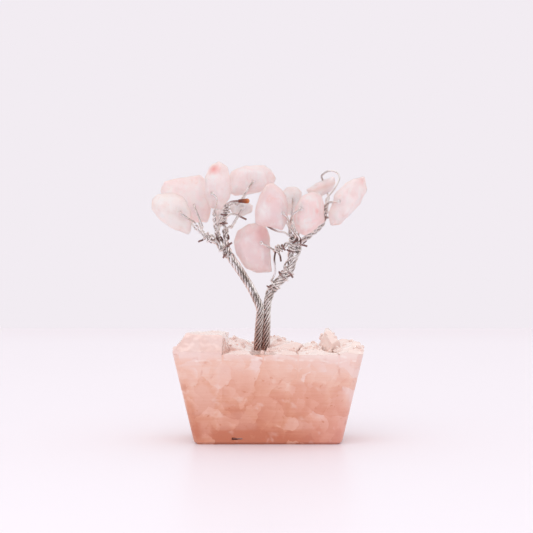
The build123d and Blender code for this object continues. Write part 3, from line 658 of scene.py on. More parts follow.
@dataclass(frozen=True)
class BeddedQuartz(BlockFinish):
    """Quartz chips seen through the clear skin of the casting: each a cast of its own, soft at its edge."""

    tones: tuple[tuple[float, str], ...] = (
        (0.0, "#D98F79"), (0.3, "#E3A792"), (0.6, "#ECBFB1"), (0.8, "#F1D0C7"), (1.0, "#EBB9AD"))
    # Pale patches: partly milky quartz and partly painted glints, light caught by facets inside the chips.
    milk: str = "#F8E6DD"
    rust: str = "#CC7C58"
    ragged_mm: float = 1.6
    milk_glint_mm: float = 2.4
    rust_mm: float = 1.1

    def make(self) -> Material:
        """Make the chip material, which reads the tone and rim attributes of its mesh.

        Returns:
            The material.
        """
        material, tree, shader, place = new_material(self.name)
        shared = self.shared_colour(tree, place)
        tone = add_node(tree, "ShaderNodeAttribute", {"attribute_name": "tone"})
        own = add_node(tree, "ShaderNodeValToRGB", inputs={"Fac": tone.outputs["Fac"]}, stops=self.tones)
        rim = add_node(tree, "ShaderNodeAttribute", {"attribute_name": "rim"})
        ragged = add_node(tree, "ShaderNodeTexNoise", inputs={
            "Vector": place, "Scale": 1 / (self.ragged_mm * MM), "Detail": 3.0})
        inner = add_node(tree, "ShaderNodeMath", {"operation": "MULTIPLY"}, {
            0: rim.outputs["Fac"], 1: ragged.outputs["Fac"]})
        soft = add_node(tree, "ShaderNodeMapRange", SMOOTH, {
            "Value": inner.outputs["Value"], "From Min": 0.02, "From Max": 0.5, "To Max": 0.3})
        colour = lay_coats(tree, shared, [
            (soft.outputs["Result"], own.outputs["Color"]),
            # Pale patches, partly milky quartz and partly painted glints of light inside the chips.
            (self.patches(tree, place, self.milk_glint_mm, 0.6, 0.28), self.milk),
            (self.patches(tree, place, self.rust_mm, 0.62, 0.8), self.rust)])
        set_inputs(tree, shader, {"Base Color": colour} | self.gloss())
        return material


@dataclass(frozen=True)
class CastResin(BlockFinish):
    """Casting resin between the chips: nearly their colour, with a browner line here and there."""

    brown: str = "#C67A5C"
    # Pale patches: partly milky quartz and partly painted glints, light caught by facets inside the chips.
    milk: str = "#F6DFD5"
    brown_mm: float = 2.8
    milk_glint_mm: float = 2.4

    def make(self) -> Material:
        """Make the resin material.

        Returns:
            The material.
        """
        material, tree, shader, place = new_material(self.name)
        colour = lay_coats(tree, self.shared_colour(tree, place), [
            (self.patches(tree, place, self.brown_mm, 0.58, 0.55), self.brown),
            # Pale patches, partly milky quartz and partly painted glints of light inside the chips.
            (self.patches(tree, place, self.milk_glint_mm, 0.6, 0.28), self.milk)])
        set_inputs(tree, shader, {"Base Color": colour} | self.gloss())
        return material


@dataclass(frozen=True)
class BrokenQuartz(BlockFinish):
    """Broken rose quartz above the rim: glassy facets, milky and paler where light comes through."""

    pale: str = "#F8E6DD"
    cloud: str = "#F2DBD4"
    glint: str = "#FCF0EA"
    ledge: str = "#FDF1EB"
    milkiness: float = 0.7
    bedded_mm: float = 17.9
    clear_mm: float = 19.4
    pale_from_mm: float = -4.0
    pale_to_mm: float = 14.0
    cloud_mm: float = 3.0
    glint_mm: float = 1.8
    ledge_mm: float = 16.7
    ledge_edge_mm: tuple[float, float] = (0.4, 0.1)
    wave_mm: float = 5.0
    wave_rise_mm: float = 3.0

    def make(self) -> Material:
        """Make the crown chips' material.

        Returns:
            The material.
        """
        material, tree, shader, place = new_material(self.name)
        shared = self.shared_colour(tree, place)
        parts = add_node(tree, "ShaderNodeSeparateXYZ", inputs={"Vector": place}).outputs
        clear = add_node(tree, "ShaderNodeMapRange", SMOOTH, {
            "Value": parts["Z"], "From Min": self.bedded_mm * MM,
            "From Max": self.clear_mm * MM}).outputs["Result"]
        right = add_node(tree, "ShaderNodeMapRange", SMOOTH, {
            "Value": parts["X"], "From Min": self.pale_from_mm * MM,
            "From Max": self.pale_to_mm * MM}).outputs["Result"]
        body = lay_coats(tree, linear(self.crest), [(right, self.pale)])
        clouds = self.patches(tree, place, self.cloud_mm, 0.42, 0.5)
        glints = self.patches(tree, place, self.glint_mm, 0.55, 0.8)
        milky, cloudy, clear_right = (
            add_node(tree, "ShaderNodeMath", {"operation": "MULTIPLY"}, {0: clear, 1: share}).outputs["Value"]
            for share in (self.milkiness, clouds, right))
        glinting = add_node(tree, "ShaderNodeMath", {"operation": "MULTIPLY"}, {0: glints, 1: clear_right})
        colour = lay_coats(tree, shared, [
            (milky, body), (cloudy, self.cloud), (glinting.outputs["Value"], self.glint),
            (self.ledges(tree, place, parts["Z"]), self.ledge)])
        set_inputs(tree, shader, {"Base Color": colour} | self.gloss() | {
            "Roughness": 0.16, "Coat Weight": 0.8})
        return material

    def ledges(self, tree: NodeTree, place: NodeSocket, height: NodeSocket) -> NodeSocket:
        """Add the broken, wavy line where light catches the chips just below the rim.

        Args:
            tree: The material's node tree.
            place: The Object coordinates.
            height: Their Z.

        Returns:
            The line's share of colour.
        """
        wave = add_node(tree, "ShaderNodeTexNoise", inputs={
            "Vector": place, "Scale": 1 / (self.wave_mm * MM)})
        bent = add_node(tree, "ShaderNodeMath", {"operation": "MULTIPLY_ADD"}, {
            0: wave.outputs["Fac"], 1: -self.wave_rise_mm * MM, 2: height})
        above = add_node(tree, "ShaderNodeMath", {"operation": "SUBTRACT"}, {
            0: bent.outputs["Value"], 1: self.ledge_mm * MM})
        away = add_node(tree, "ShaderNodeMath", {"operation": "ABSOLUTE"}, {0: above.outputs["Value"]})
        outer, inner = self.ledge_edge_mm
        band = add_node(tree, "ShaderNodeMapRange", SMOOTH, {
            "Value": away.outputs["Value"], "From Min": outer * MM, "From Max": inner * MM})
        broken = add_node(tree, "ShaderNodeMath", {"operation": "MULTIPLY"}, {
            0: band.outputs["Result"], 1: self.patches(tree, place, self.cloud_mm, 0.45, 0.5)})
        return broken.outputs["Value"]


@dataclass(frozen=True)
class PlatedWire:
    """Silver-plated copper craft wire, drawn smooth: dulled by handling, browner at the foot and cut ends."""

    name: str
    bright: str = "#F0ECEA"
    dull: str = "#C6BCB7"
    copper: str = "#8E4E36"
    bare: str = "#7A4A44"
    stain_mm: float = 2.2
    worn_mm: float = 20.5
    clean_mm: float = 28.0
    cut_mm: tuple[float, float] = (3.2, 0.6)

    def make(self) -> Material:
        """Make the wire material, which reads the to_end attribute of its mesh, in millimetres.

        Returns:
            The material.
        """
        material, tree, shader, place = new_material(self.name)
        stain = add_node(tree, "ShaderNodeTexNoise", inputs={
            "Vector": place, "Scale": 1 / (self.stain_mm * MM), "Detail": 4.0,
            "Roughness": 0.6}).outputs["Fac"]
        plate = add_node(tree, "ShaderNodeValToRGB", inputs={"Fac": stain}, stops=(
            (0.36, self.dull), (0.56, self.bright)))
        height = add_node(tree, "ShaderNodeSeparateXYZ", inputs={"Vector": place})
        low = add_node(tree, "ShaderNodeMapRange", inputs={
            "Value": height.outputs["Z"], "From Min": self.worn_mm * MM, "From Max": self.clean_mm * MM,
            "To Min": 1.15, "To Max": 0.0})
        worn = add_node(tree, "ShaderNodeMath", {"operation": "MULTIPLY"}, {
            0: low.outputs["Result"], 1: stain})
        reach = add_node(tree, "ShaderNodeAttribute", {"attribute_name": "to_end"})
        whole, end = self.cut_mm
        cut = add_node(tree, "ShaderNodeMapRange", SMOOTH, {
            "Value": reach.outputs["Fac"], "From Min": whole, "From Max": end, "To Max": 0.85})
        colour = lay_coats(tree, plate.outputs["Color"], [
            (worn.outputs["Value"], self.copper), (cut.outputs["Result"], self.bare)])
        rough = add_node(tree, "ShaderNodeMapRange", inputs={"Value": stain, "To Min": 0.28, "To Max": 0.1})
        set_inputs(tree, shader, {
            "Base Color": colour, "Metallic": 1.0, "Roughness": rough.outputs["Result"]})
        return material


@dataclass(frozen=True)
class AmberGlue:
    """Hardened amber glue: a glossy drop, dark where it is thick and orange at its tip."""

    name: str
    dark: str = "#6E2C12"
    middle: str = "#A5521F"
    clear: str = "#D58A4C"
    start_mm: float = -6.4
    end_mm: float = -3.9
    swirl_mm: float = 0.8
    scatter_mm: float = 0.4

    def make(self) -> Material:
        """Make the drop's material.

        Returns:
            The material.
        """
        material, tree, shader, place = new_material(self.name)
        parts = add_node(tree, "ShaderNodeSeparateXYZ", inputs={"Vector": place})
        swirl = add_node(tree, "ShaderNodeTexNoise", inputs={
            "Vector": place, "Scale": 1 / (self.swirl_mm * MM)})
        share = add_node(tree, "ShaderNodeMapRange", inputs={
            "Value": parts.outputs["X"], "From Min": self.start_mm * MM, "From Max": self.end_mm * MM})
        mixed = add_node(tree, "ShaderNodeMath", {"operation": "MULTIPLY_ADD"}, {
            0: swirl.outputs["Fac"], 1: 0.3, 2: share.outputs["Result"]})
        colour = add_node(tree, "ShaderNodeValToRGB", inputs={"Fac": mixed.outputs["Value"]}, stops=(
            (0.45, self.dark), (0.85, self.middle), (1.0, self.clear)))
        set_inputs(tree, shader, {
            "Base Color": colour.outputs["Color"], "Roughness": 0.12, "IOR": 1.54,
            "Subsurface Weight": 0.4, "Subsurface Radius": (1.0, 0.4, 0.15),
            "Subsurface Scale": self.scatter_mm * MM})
        return material


@dataclass
class DrilledStone:
    """One tumbled stone that hangs on its wire: a worn pebble with a drilled hole.

    A spot is a stain's place and reach, in millimetres, and its strength.
    """

    letter: str
    cast: Tone
    spots: list[tuple[Vector, float, float]] = field(default_factory=list)
    flush: float = 0.9
    grain_mm: float = 0.22
    wear_rounds: int = 7
    dents_mm: tuple[tuple[float, float], ...] = ((3.2, 0.3), (1.3, 0.1))
    swell_mm: float = 0.1
    hole_mm: float = 0.8
    room_mm: float = 1.5
    bit_mm: float = 30.0
    bit_sides: int = 24
    noise_step_mm: float = 17.0
    noise_mm: tuple[float, float] = (3.0, 9.0)

    def pebble(self, node: Object, wires: kdtree.KDTree) -> Mesh:
        """Shape the pebble from the corners of its CAD solid.

        Args:
            node: The stone's CAD node.
            wires: The corners of the wires, which the stone leaves room for.

        Returns:
            The worn mesh without its hole, in millimetres.
        """
        corners = merged_copy(node)
        hull = bmesh.new()
        for vertex in corners.verts:
            hull.verts.new(vertex.co)
        corners.free()
        bmesh.ops.convex_hull(hull, input=hull.verts)
        loose = [v for v in hull.verts if not v.link_faces]
        bmesh.ops.delete(hull, geom=loose, context="VERTS")
        mesh = tumbled_mesh(f"stone_{self.letter}_work", hull, self.grain_mm, self.wear_rounds)
        shift = Vector((ord(self.letter) * self.noise_step_mm, *self.noise_mm))
        ripple(mesh, self.dents_mm, shift, self.swell_mm, clear=wires, room=self.room_mm)
        return mesh

    def drill(self, mesh: Mesh, joint: dict) -> Mesh:
        """Cut the hole that the wire passes through.

        Args:
            mesh: The pebble, in millimetres.
            joint: The record's hinge about the hole.

        Returns:
            The drilled mesh, in millimetres.
        """
        centre = Vector(joint["pos_m"]) / MM
        turn = Vector(joint["axis"]).to_track_quat("Z", "Y").to_matrix().to_4x4()
        bit = bmesh.new()
        bmesh.ops.create_cone(bit, cap_ends=True, segments=self.bit_sides, radius1=self.hole_mm / 2,
                              radius2=self.hole_mm / 2, depth=self.bit_mm,
                              matrix=Matrix.Translation(centre) @ turn)
        cutter = make_holder("drill", plain_mesh("drill", bit))
        holder = make_holder("pebble", mesh)
        cut = holder.modifiers.new("hole", "BOOLEAN")
        cut.operation = "DIFFERENCE"
        cut.solver = "EXACT"
        cut.object = cutter
        drilled = baked_mesh(holder)
        bpy.data.objects.remove(cutter)
        return drilled

    def stain_at(self, point: Vector) -> float:
        """Return how strongly the spots stain a point of the stone."""
        near = [strength * max(0.0, 1 - (point - place).length / reach)
                for place, reach, strength in self.spots]
        return max(near, default=0.0)

    def build(self, frame: dict, wires: kdtree.KDTree) -> None:
        """Build the stone on its body.

        Args:
            frame: The loaded frame.
            wires: The corners of the wires, which the stone leaves room for.
        """
        name = f"stone_{self.letter}"
        joint = next(j for j in frame["joints"] if j["child"] == name)
        mesh = self.drill(self.pebble(frame["nodes"][name], wires), joint)
        mesh.shade_smooth()
        axis = Vector(joint["axis"])
        centre = sum((v.co for v in mesh.vertices), Vector()) / len(mesh.vertices)
        set_attribute(mesh, "stain", [self.stain_at(v.co) for v in mesh.vertices])
        heights = [abs((v.co - centre).dot(axis)) for v in mesh.vertices]
        thick = max(heights)
        set_attribute(mesh, "rim", [self.flush * (1 - h / thick) ** 2 for h in heights])
        finish = TumbledQuartz(f"tumbled_rose_quartz_{self.letter}", self.cast).make()
        finish_piece(f"tumbled_{name}", mesh, finish, name, [name])


@dataclass
class WireTree:
    """The tree of twisted wire: twelve doubled wires and the ties round their forks."""

    starts: tuple[str, ...] = ("wire_", "tie_")
    wire_mm: float = 0.42
    cad_sides: int = 5
    sides: int = 10
    spacing_mm: float = 0.16
    sway_mm: float = 0.05
    sway_size_mm: float = 2.2

    def centre_line(self, node: Object) -> Mesh:
        """Find the middle line of a wire from the rings of its CAD solid.

        Args:
            node: The wire's CAD node.

        Returns:
            A chain of edges along the wire, in millimetres.
        """
        rod = merged_copy(node)
        rod.verts.ensure_lookup_table()
        near = {v.index: {e.other_vert(v).index for e in v.link_edges} for v in rod.verts}
        far = self.levels(near, {0})[-1]
        end = rod.verts[min(far)]
        close = {k for v in near[end.index] for k in near[v]} | near[end.index]
        ring = sorted(close, key=lambda k: (rod.verts[k].co - end.co).length)[:self.cad_sides]
        points = []
        for level in self.levels(near, set(ring)):
            points.append(sum((rod.verts[k].co for k in level), Vector()) / len(level))
        rod.free()
        chain = bpy.data.meshes.new("line")
        chain.from_pydata(points, [(k, k + 1) for k in range(len(points) - 1)], [])
        return chain

    @staticmethod
    def levels(near: dict[int, set[int]], start: set[int]) -> list[set[int]]:
        """Group vertices by how many edges lie between them and a start.

        Args:
            near: The neighbours of each vertex.
            start: The vertices to count from.

        Returns:
            The groups, from the start outwards.
        """
        seen, front, found = set(start), set(start), [set(start)]
        while front:
            front = {k for v in front for k in near[v]} - seen
            seen |= front
            if front:
                found.append(front)
        return found

    def tube_tree(self) -> NodeTree:
        """Build the node tree that draws a round wire along a chain of edges.

        Returns:
            The tree.
        """
        tree, given = new_shaping("drawn_wire", {
            "Radius": "NodeSocketFloat", "Spacing": "NodeSocketFloat", "Sway": "NodeSocketFloat",
            "Sway Size": "NodeSocketFloat", "Sides": "NodeSocketInt"})
        curve = add_node(tree, "GeometryNodeMeshToCurve", inputs={"Mesh": given["Geometry"]})
        bezier = add_node(tree, "GeometryNodeCurveSplineType", {"spline_type": "BEZIER"}, {
            "Curve": curve.outputs["Curve"]})
        handles = add_node(tree, "GeometryNodeCurveSetHandles", {"handle_type": "AUTO"}, {
            "Curve": bezier.outputs["Curve"]})
        even = add_node(tree, "GeometryNodeResampleCurve", {"mode": "LENGTH"}, {
            "Curve": handles.outputs["Curve"], "Length": given["Spacing"]})
        along = add_node(tree, "GeometryNodeSplineParameter").outputs["Length"]
        whole = add_node(tree, "GeometryNodeSplineLength").outputs["Length"]
        rest = add_node(tree, "ShaderNodeMath", {"operation": "SUBTRACT"}, {0: whole, 1: along})
        nearer = add_node(tree, "ShaderNodeMath", {"operation": "MINIMUM"}, {
            0: along, 1: rest.outputs["Value"]})
        marked = add_node(tree, "GeometryNodeStoreNamedAttribute", {
            "data_type": "FLOAT", "domain": "POINT"}, {
            "Geometry": even.outputs["Curve"], "Name": "to_end", "Value": nearer.outputs["Value"]})
        place = add_node(tree, "GeometryNodeInputPosition")
        finer = add_node(tree, "ShaderNodeMath", {"operation": "DIVIDE"}, {0: 1.0, 1: given["Sway Size"]})
        drift = add_node(tree, "ShaderNodeTexNoise", inputs={
            "Vector": place.outputs["Position"], "Scale": finer.outputs["Value"], "Detail": 2.0})
        middle = add_node(tree, "ShaderNodeVectorMath", {"operation": "SUBTRACT"}, {
            0: drift.outputs["Color"], 1: (0.5, 0.5, 0.5)})
        sway = add_node(tree, "ShaderNodeVectorMath", {"operation": "SCALE"}, {
            0: middle.outputs["Vector"], "Scale": given["Sway"]})
        bent = add_node(tree, "GeometryNodeSetPosition", inputs={
            "Geometry": marked.outputs["Geometry"], "Offset": sway.outputs["Vector"]})
        section = add_node(tree, "GeometryNodeCurvePrimitiveCircle", {"mode": "RADIUS"}, {
            "Resolution": given["Sides"], "Radius": given["Radius"]})
        tube = add_node(tree, "GeometryNodeCurveToMesh", inputs={
            "Curve": bent.outputs["Geometry"], "Profile Curve": section.outputs["Curve"], "Fill Caps": True})
        soft = add_node(tree, "GeometryNodeSetShadeSmooth", inputs={"Geometry": tube.outputs["Mesh"]})
        end_shaping(tree, soft.outputs["Geometry"], given["Finish"])
        return tree

    def build(self, frame: dict) -> None:
        """Build every wire and tie on the tree's body.

        Args:
            frame: The loaded frame.
        """
        finish = PlatedWire("silver_plated_copper_wire").make()
        tree = self.tube_tree()
        sizes = {"Radius": self.wire_mm / 2, "Spacing": self.spacing_mm, "Sway": self.sway_mm,
                 "Sway Size": self.sway_size_mm, "Sides": self.sides, "Finish": finish}
        for name in sorted(n for n in frame["nodes"] if n.startswith(self.starts)):
            mesh = shaped_mesh(f"{name}_work", self.centre_line(frame["nodes"][name]), tree, sizes)
            finish_piece(f"drawn_{name}", mesh, finish, TREE_BODY, [name])


@dataclass
class ChipBed:
    """The casting: resin and three layers of chips whose broken faces lie in its walls."""

    layers: tuple[str, ...] = ("lower", "middle", "upper")
    edge_mm: float = 0.7
    rounds: int = 5
    draft_deg: float = 12.6
    wall_gap_mm: float = 0.05
    same_way: float = 0.01
    same_plane_mm: float = 0.02
    collar_mm: float = 2.6
    collar_taper: float = 0.6
    collar_high_mm: float = 1.0
    collar_sunk_mm: float = 0.45
    collar_sides: int = 32
    seed: int = 11

    def wall_faces(self, shell: list[BMFace], box: tuple[Vector, Vector]) -> list[BMFace]:
        """Find the faces of a chip that lie in the walls of the casting.

        Args:
            shell: The chip's faces.
            box: The casting's lowest and highest corners, in millimetres.

        Returns:
            The faces that show.
        """
        lean = math.radians(self.draft_deg)
        shown = []
        for face in shell:
            centre = face.calc_center_median()
            rise = (box[1].z - centre.z) * math.tan(lean)
            gap = min(box[1].x - rise - abs(centre.x), box[1].y - rise - abs(centre.y))
            if abs(gap) < self.wall_gap_mm and face.normal.z < 0.0:
                shown.append(face)
        return shown

    def faces_along(self, normal: Vector, ways: list[Vector]) -> bool:
        """Tell whether a normal is the same as one of some others."""
        return any((normal - way).length < self.same_way for way in ways)

    def planes(self, shell: list[BMFace]) -> list[tuple[Vector, float]]:
        """Find the planes that a chip's faces lie in.

        Args:
            shell: The chip's faces.

        Returns:
            Each plane's normal and its distance from the origin, in millimetres.
        """
        found: list[tuple[Vector, float]] = []
        for face in shell:
            point = face.verts[0].co
            if not any(self.faces_along(face.normal, [n]) and abs(point.dot(n) - d) < self.same_plane_mm
                       for n, d in found):
                found.append((face.normal.copy(), point.dot(face.normal)))
        return found

    def bed(self, node: Object, box: tuple[Vector, Vector], draw: random.Random) -> Mesh:
        """Divide the faces of a layer's chips that show, and note each chip's tone and edges.

        Args:
            node: The layer's CAD node.
            box: The casting's lowest and highest corners, in millimetres.
            draw: The source of the tones.

        Returns:
            The layer's mesh, in millimetres.
        """
        whole = merged_copy(node)
        whole.normal_update()
        tone = whole.verts.layers.float.new("tone")
        rim = whole.verts.layers.float.new("rim")
        for shell in islands(whole):
            shade = draw.random()
            planes = self.planes(shell)
            shown = self.wall_faces(shell, box)
            walls = [f.normal.copy() for f in shown]
            inner = [(n, d) for n, d in planes if not self.faces_along(n, walls)]
            for _ in range(self.rounds):
                edges = {e for f in shown for e in f.edges if e.calc_length() > self.edge_mm}
                if not edges:
                    break
                made = bmesh.ops.subdivide_edges(whole, edges=list(edges), cuts=1, use_grid_fill=True)
                shown = list({f for f in shown if f.is_valid}
                             | {g for g in made["geom"] if isinstance(g, BMFace)
                                and self.faces_along(g.normal, walls)})
            verts = {v for f in shell if f.is_valid for v in f.verts} | {v for f in shown for v in f.verts}
            for vertex in verts:
                vertex[tone] = shade
                vertex[rim] = max(0.0, min((d - vertex.co.dot(n) for n, d in inner), default=0.0))
        return plain_mesh(node.name, whole)

    def collar(self, frame: dict, rim: float) -> Mesh:
        """Make the resin that closed round the foot of the trunk.

        Args:
            frame: The loaded frame.
            rim: The height of the casting's rim, in millimetres.

        Returns:
            A low cone, in millimetres.
        """
        foot = [p for p in node_corners(frame, ("wire_",)) if abs(p.z - rim) < self.collar_high_mm]
        middle = sum(foot, Vector()) / len(foot)
        cone = bmesh.new()
        bmesh.ops.create_cone(cone, cap_ends=True, segments=self.collar_sides, radius1=self.collar_mm,
                              radius2=self.collar_taper * self.collar_mm, depth=self.collar_high_mm,
                              matrix=Matrix.Translation((middle.x, middle.y, rim - self.collar_sunk_mm)))
        return plain_mesh("collar", cone)

    def build(self, frame: dict) -> None:
        """Dress the resin and build its collar and the bedded chips.

        Args:
            frame: The loaded frame.
        """
        resin = frame["nodes"][CASTING]
        cast = CastResin("clear_casting_resin").make()
        resin.data.materials.clear()
        resin.data.materials.append(cast)
        LOG.info("%s: dressed as it is", CASTING)
        low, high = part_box(CASTING)
        box = Vector(low) / MM, Vector(high) / MM
        finish_piece("resin_collar", self.collar(frame, box[1].z), cast, TREE_BODY, [])
        finish = BeddedQuartz("rose_quartz_under_resin").make()
        draw = random.Random(self.seed)
        for layer in self.layers:
            name = f"packed_chips_{layer}"
            mesh = self.bed(frame["nodes"][name], box, draw)
            finish_piece(f"bedded_chips_{layer}", mesh, finish, TREE_BODY, [name])


@dataclass
class ChipCrown:
    """The broken chips that stand above the rim round the trunk, and the crumbs that lie on them."""

    edge_mm: float = 0.45
    rounds: int = 5
    bevel_mm: float = 0.22
    bevel_segments: int = 2
    bevel_profile: float = 0.6
    flat_deg: float = 1.0
    sharp_deg: float = 12.0
    crease_deg: float = 32.0
    breaks_mm: tuple[tuple[float, float], ...] = ((2.4, 0.22), (0.9, 0.12))
    noise_step_mm: float = 23.0
    noise_mm: tuple[float, float] = (5.0, 2.0)
    proud_mm: float = 0.05
    bare: str = "crown_chip_01"
    crumbs_per_mm2: float = 0.12
    crumb_mm: tuple[float, float] = (0.25, 0.75)
    crumb_rise_mm: float = 0.1
    crumb_slope: float = 0.3
    crumb_seed: int = 4

    def chip(self, node: Object, rim: float, shift: Vector) -> Mesh:
        """Break the edges of one chip above the rim and leave its bed as it is.

        Args:
            node: The chip's CAD node.
            rim: The height of the casting's rim, in millimetres.
            shift: A place in the noise, so that no two chips are alike.

        Returns:
            The chip's mesh, in millimetres.
        """
        chip = merged_copy(node)
        bmesh.ops.dissolve_limit(chip, angle_limit=math.radians(self.flat_deg), verts=chip.verts,
                                 edges=chip.edges)
        chip.normal_update()
        sharp = [e for e in chip.edges if min(v.co.z for v in e.verts) > rim + self.bevel_mm
                 and e.calc_face_angle(0.0) > math.radians(self.sharp_deg)]
        bmesh.ops.bevel(chip, geom=sharp, offset=self.bevel_mm, segments=self.bevel_segments,
                        profile=self.bevel_profile, affect="EDGES", clamp_overlap=True)
        bmesh.ops.triangulate(chip, faces=chip.faces)
        for _ in range(self.rounds):
            long = [e for e in chip.edges
                    if e.calc_length() > self.edge_mm and max(v.co.z for v in e.verts) > rim]
            if not long:
                break
            bmesh.ops.subdivide_edges(chip, edges=long, cuts=1)
            bmesh.ops.triangulate(chip, faces=chip.faces)
        mesh = plain_mesh(node.name, chip)
        ripple(mesh, self.breaks_mm, shift, above=rim)
        mesh.shade_smooth()
        mesh.set_sharp_from_angle(angle=math.radians(self.crease_deg))
        for polygon in mesh.polygons:
            top = max(mesh.vertices[k].co.z for k in polygon.vertices)
            polygon.use_smooth = top > rim + self.proud_mm
        return mesh

    def crumb_tree(self) -> NodeTree:
        """Build the node tree that strews crumbs over the chips.

        Returns:
            The tree.
        """
        tree, given = new_shaping("strewn_crumbs", {
            "Density": "NodeSocketFloat", "Least": "NodeSocketFloat", "Most": "NodeSocketFloat",
            "Seed": "NodeSocketInt"})
        strewn = add_node(tree, "GeometryNodeDistributePointsOnFaces", inputs={
            "Mesh": given["Geometry"], "Density": given["Density"], "Seed": given["Seed"]})
        shard = add_node(tree, "GeometryNodeMeshIcoSphere", inputs={"Radius": 1.0, "Subdivisions": 1})
        turn = add_node(tree, "FunctionNodeRandomValue", {"data_type": "FLOAT_VECTOR"}, {
            "Max": (math.tau, math.tau, math.tau), "Seed": given["Seed"]})
        least, most = (add_node(tree, "ShaderNodeCombineXYZ", inputs={axis: given[end] for axis in "XYZ"})
                       for end in ("Least", "Most"))
        size = add_node(tree, "FunctionNodeRandomValue", {"data_type": "FLOAT_VECTOR"}, {
            "Min": least.outputs["Vector"], "Max": most.outputs["Vector"], "Seed": given["Seed"]})
        crumbs = add_node(tree, "GeometryNodeInstanceOnPoints", inputs={
            "Points": strewn.outputs["Points"], "Instance": shard.outputs["Mesh"],
            "Rotation": turn.outputs["Value"], "Scale": size.outputs["Value"]})
        end_shaping(tree, crumbs.outputs["Instances"], given["Finish"])
        return tree

    @staticmethod
    def in_order(tops: BMesh) -> Mesh:
        """Rebuild triangles in an order set by their places alone, so that each run strews the same crumbs.

        Args:
            tops: The triangles, in millimetres; the mesh is freed.

        Returns:
            The same triangles, each with corners of its own.
        """
        found = []
        for face in tops.faces:
            corners = [tuple(round(c, PLACE_DIGITS) for c in v.co) for v in face.verts]
            first = corners.index(min(corners))
            found.append(corners[first:] + corners[:first])
        tops.free()
        places = [corner for corners in sorted(found) for corner in corners]
        mesh = bpy.data.meshes.new("tops")
        mesh.from_pydata(places, [], [(k, k + 1, k + 2) for k in range(0, len(places), 3)])
        return mesh

    def crumbs(self, tops: BMesh, rim: float, finish: Material) -> Mesh:
        """Strew crumbs over the upper faces of the chips.

        Args:
            tops: The chips, in millimetres; the mesh is freed.
            rim: The height of the casting's rim, in millimetres.
            finish: The crumbs' material.

        Returns:
            The crumbs' mesh, in millimetres.
        """
        tops.normal_update()
        other = [f for f in tops.faces if f.normal.z < self.crumb_slope
                 or f.calc_center_median().z < rim + self.crumb_rise_mm]
        bmesh.ops.delete(tops, geom=other, context="FACES")
        least, most = self.crumb_mm
        return shaped_mesh("crumb_work", self.in_order(tops), self.crumb_tree(), {
            "Density": self.crumbs_per_mm2, "Least": least, "Most": most, "Seed": self.crumb_seed,
            "Finish": finish})

    def build(self, frame: dict) -> None:
        """Build the crown chips and their crumbs on the tree's body.

        Args:
            frame: The loaded frame.
        """
        finish = BrokenQuartz("broken_rose_quartz").make()
        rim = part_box(CASTING)[1][2] / MM
        names = sorted(n for n in frame["nodes"] if n.startswith("crown_chip_"))
        tops = bmesh.new()
        for number, name in enumerate(names):
            shift = Vector((number * self.noise_step_mm, *self.noise_mm))
            mesh = self.chip(frame["nodes"][name], rim, shift)
            if name != self.bare:
                tops.from_mesh(mesh)
            finish_piece(f"broken_{name}", mesh, finish, TREE_BODY, [name])
        crumbs = self.crumbs(tops, rim, finish)
        finish_piece("quartz_crumbs", crumbs, finish, TREE_BODY, [])


@dataclass
class GlueDrop:
    """The drop of amber glue on the end of one tie."""

    grain_mm: float = 0.07
    rounds: int = 14

    def build(self, frame: dict) -> None:
        """Build the drop on the tree's body.

        Args:
            frame: The loaded frame.
        """
        drop = merged_copy(frame["nodes"]["amber_drop"])
        mesh = tumbled_mesh("drop_work", drop, self.grain_mm, self.rounds)
        mesh.shade_smooth()
        finish = AmberGlue("amber_glue").make()
        finish_piece("hardened_drop", mesh, finish, TREE_BODY, ["amber_drop"])


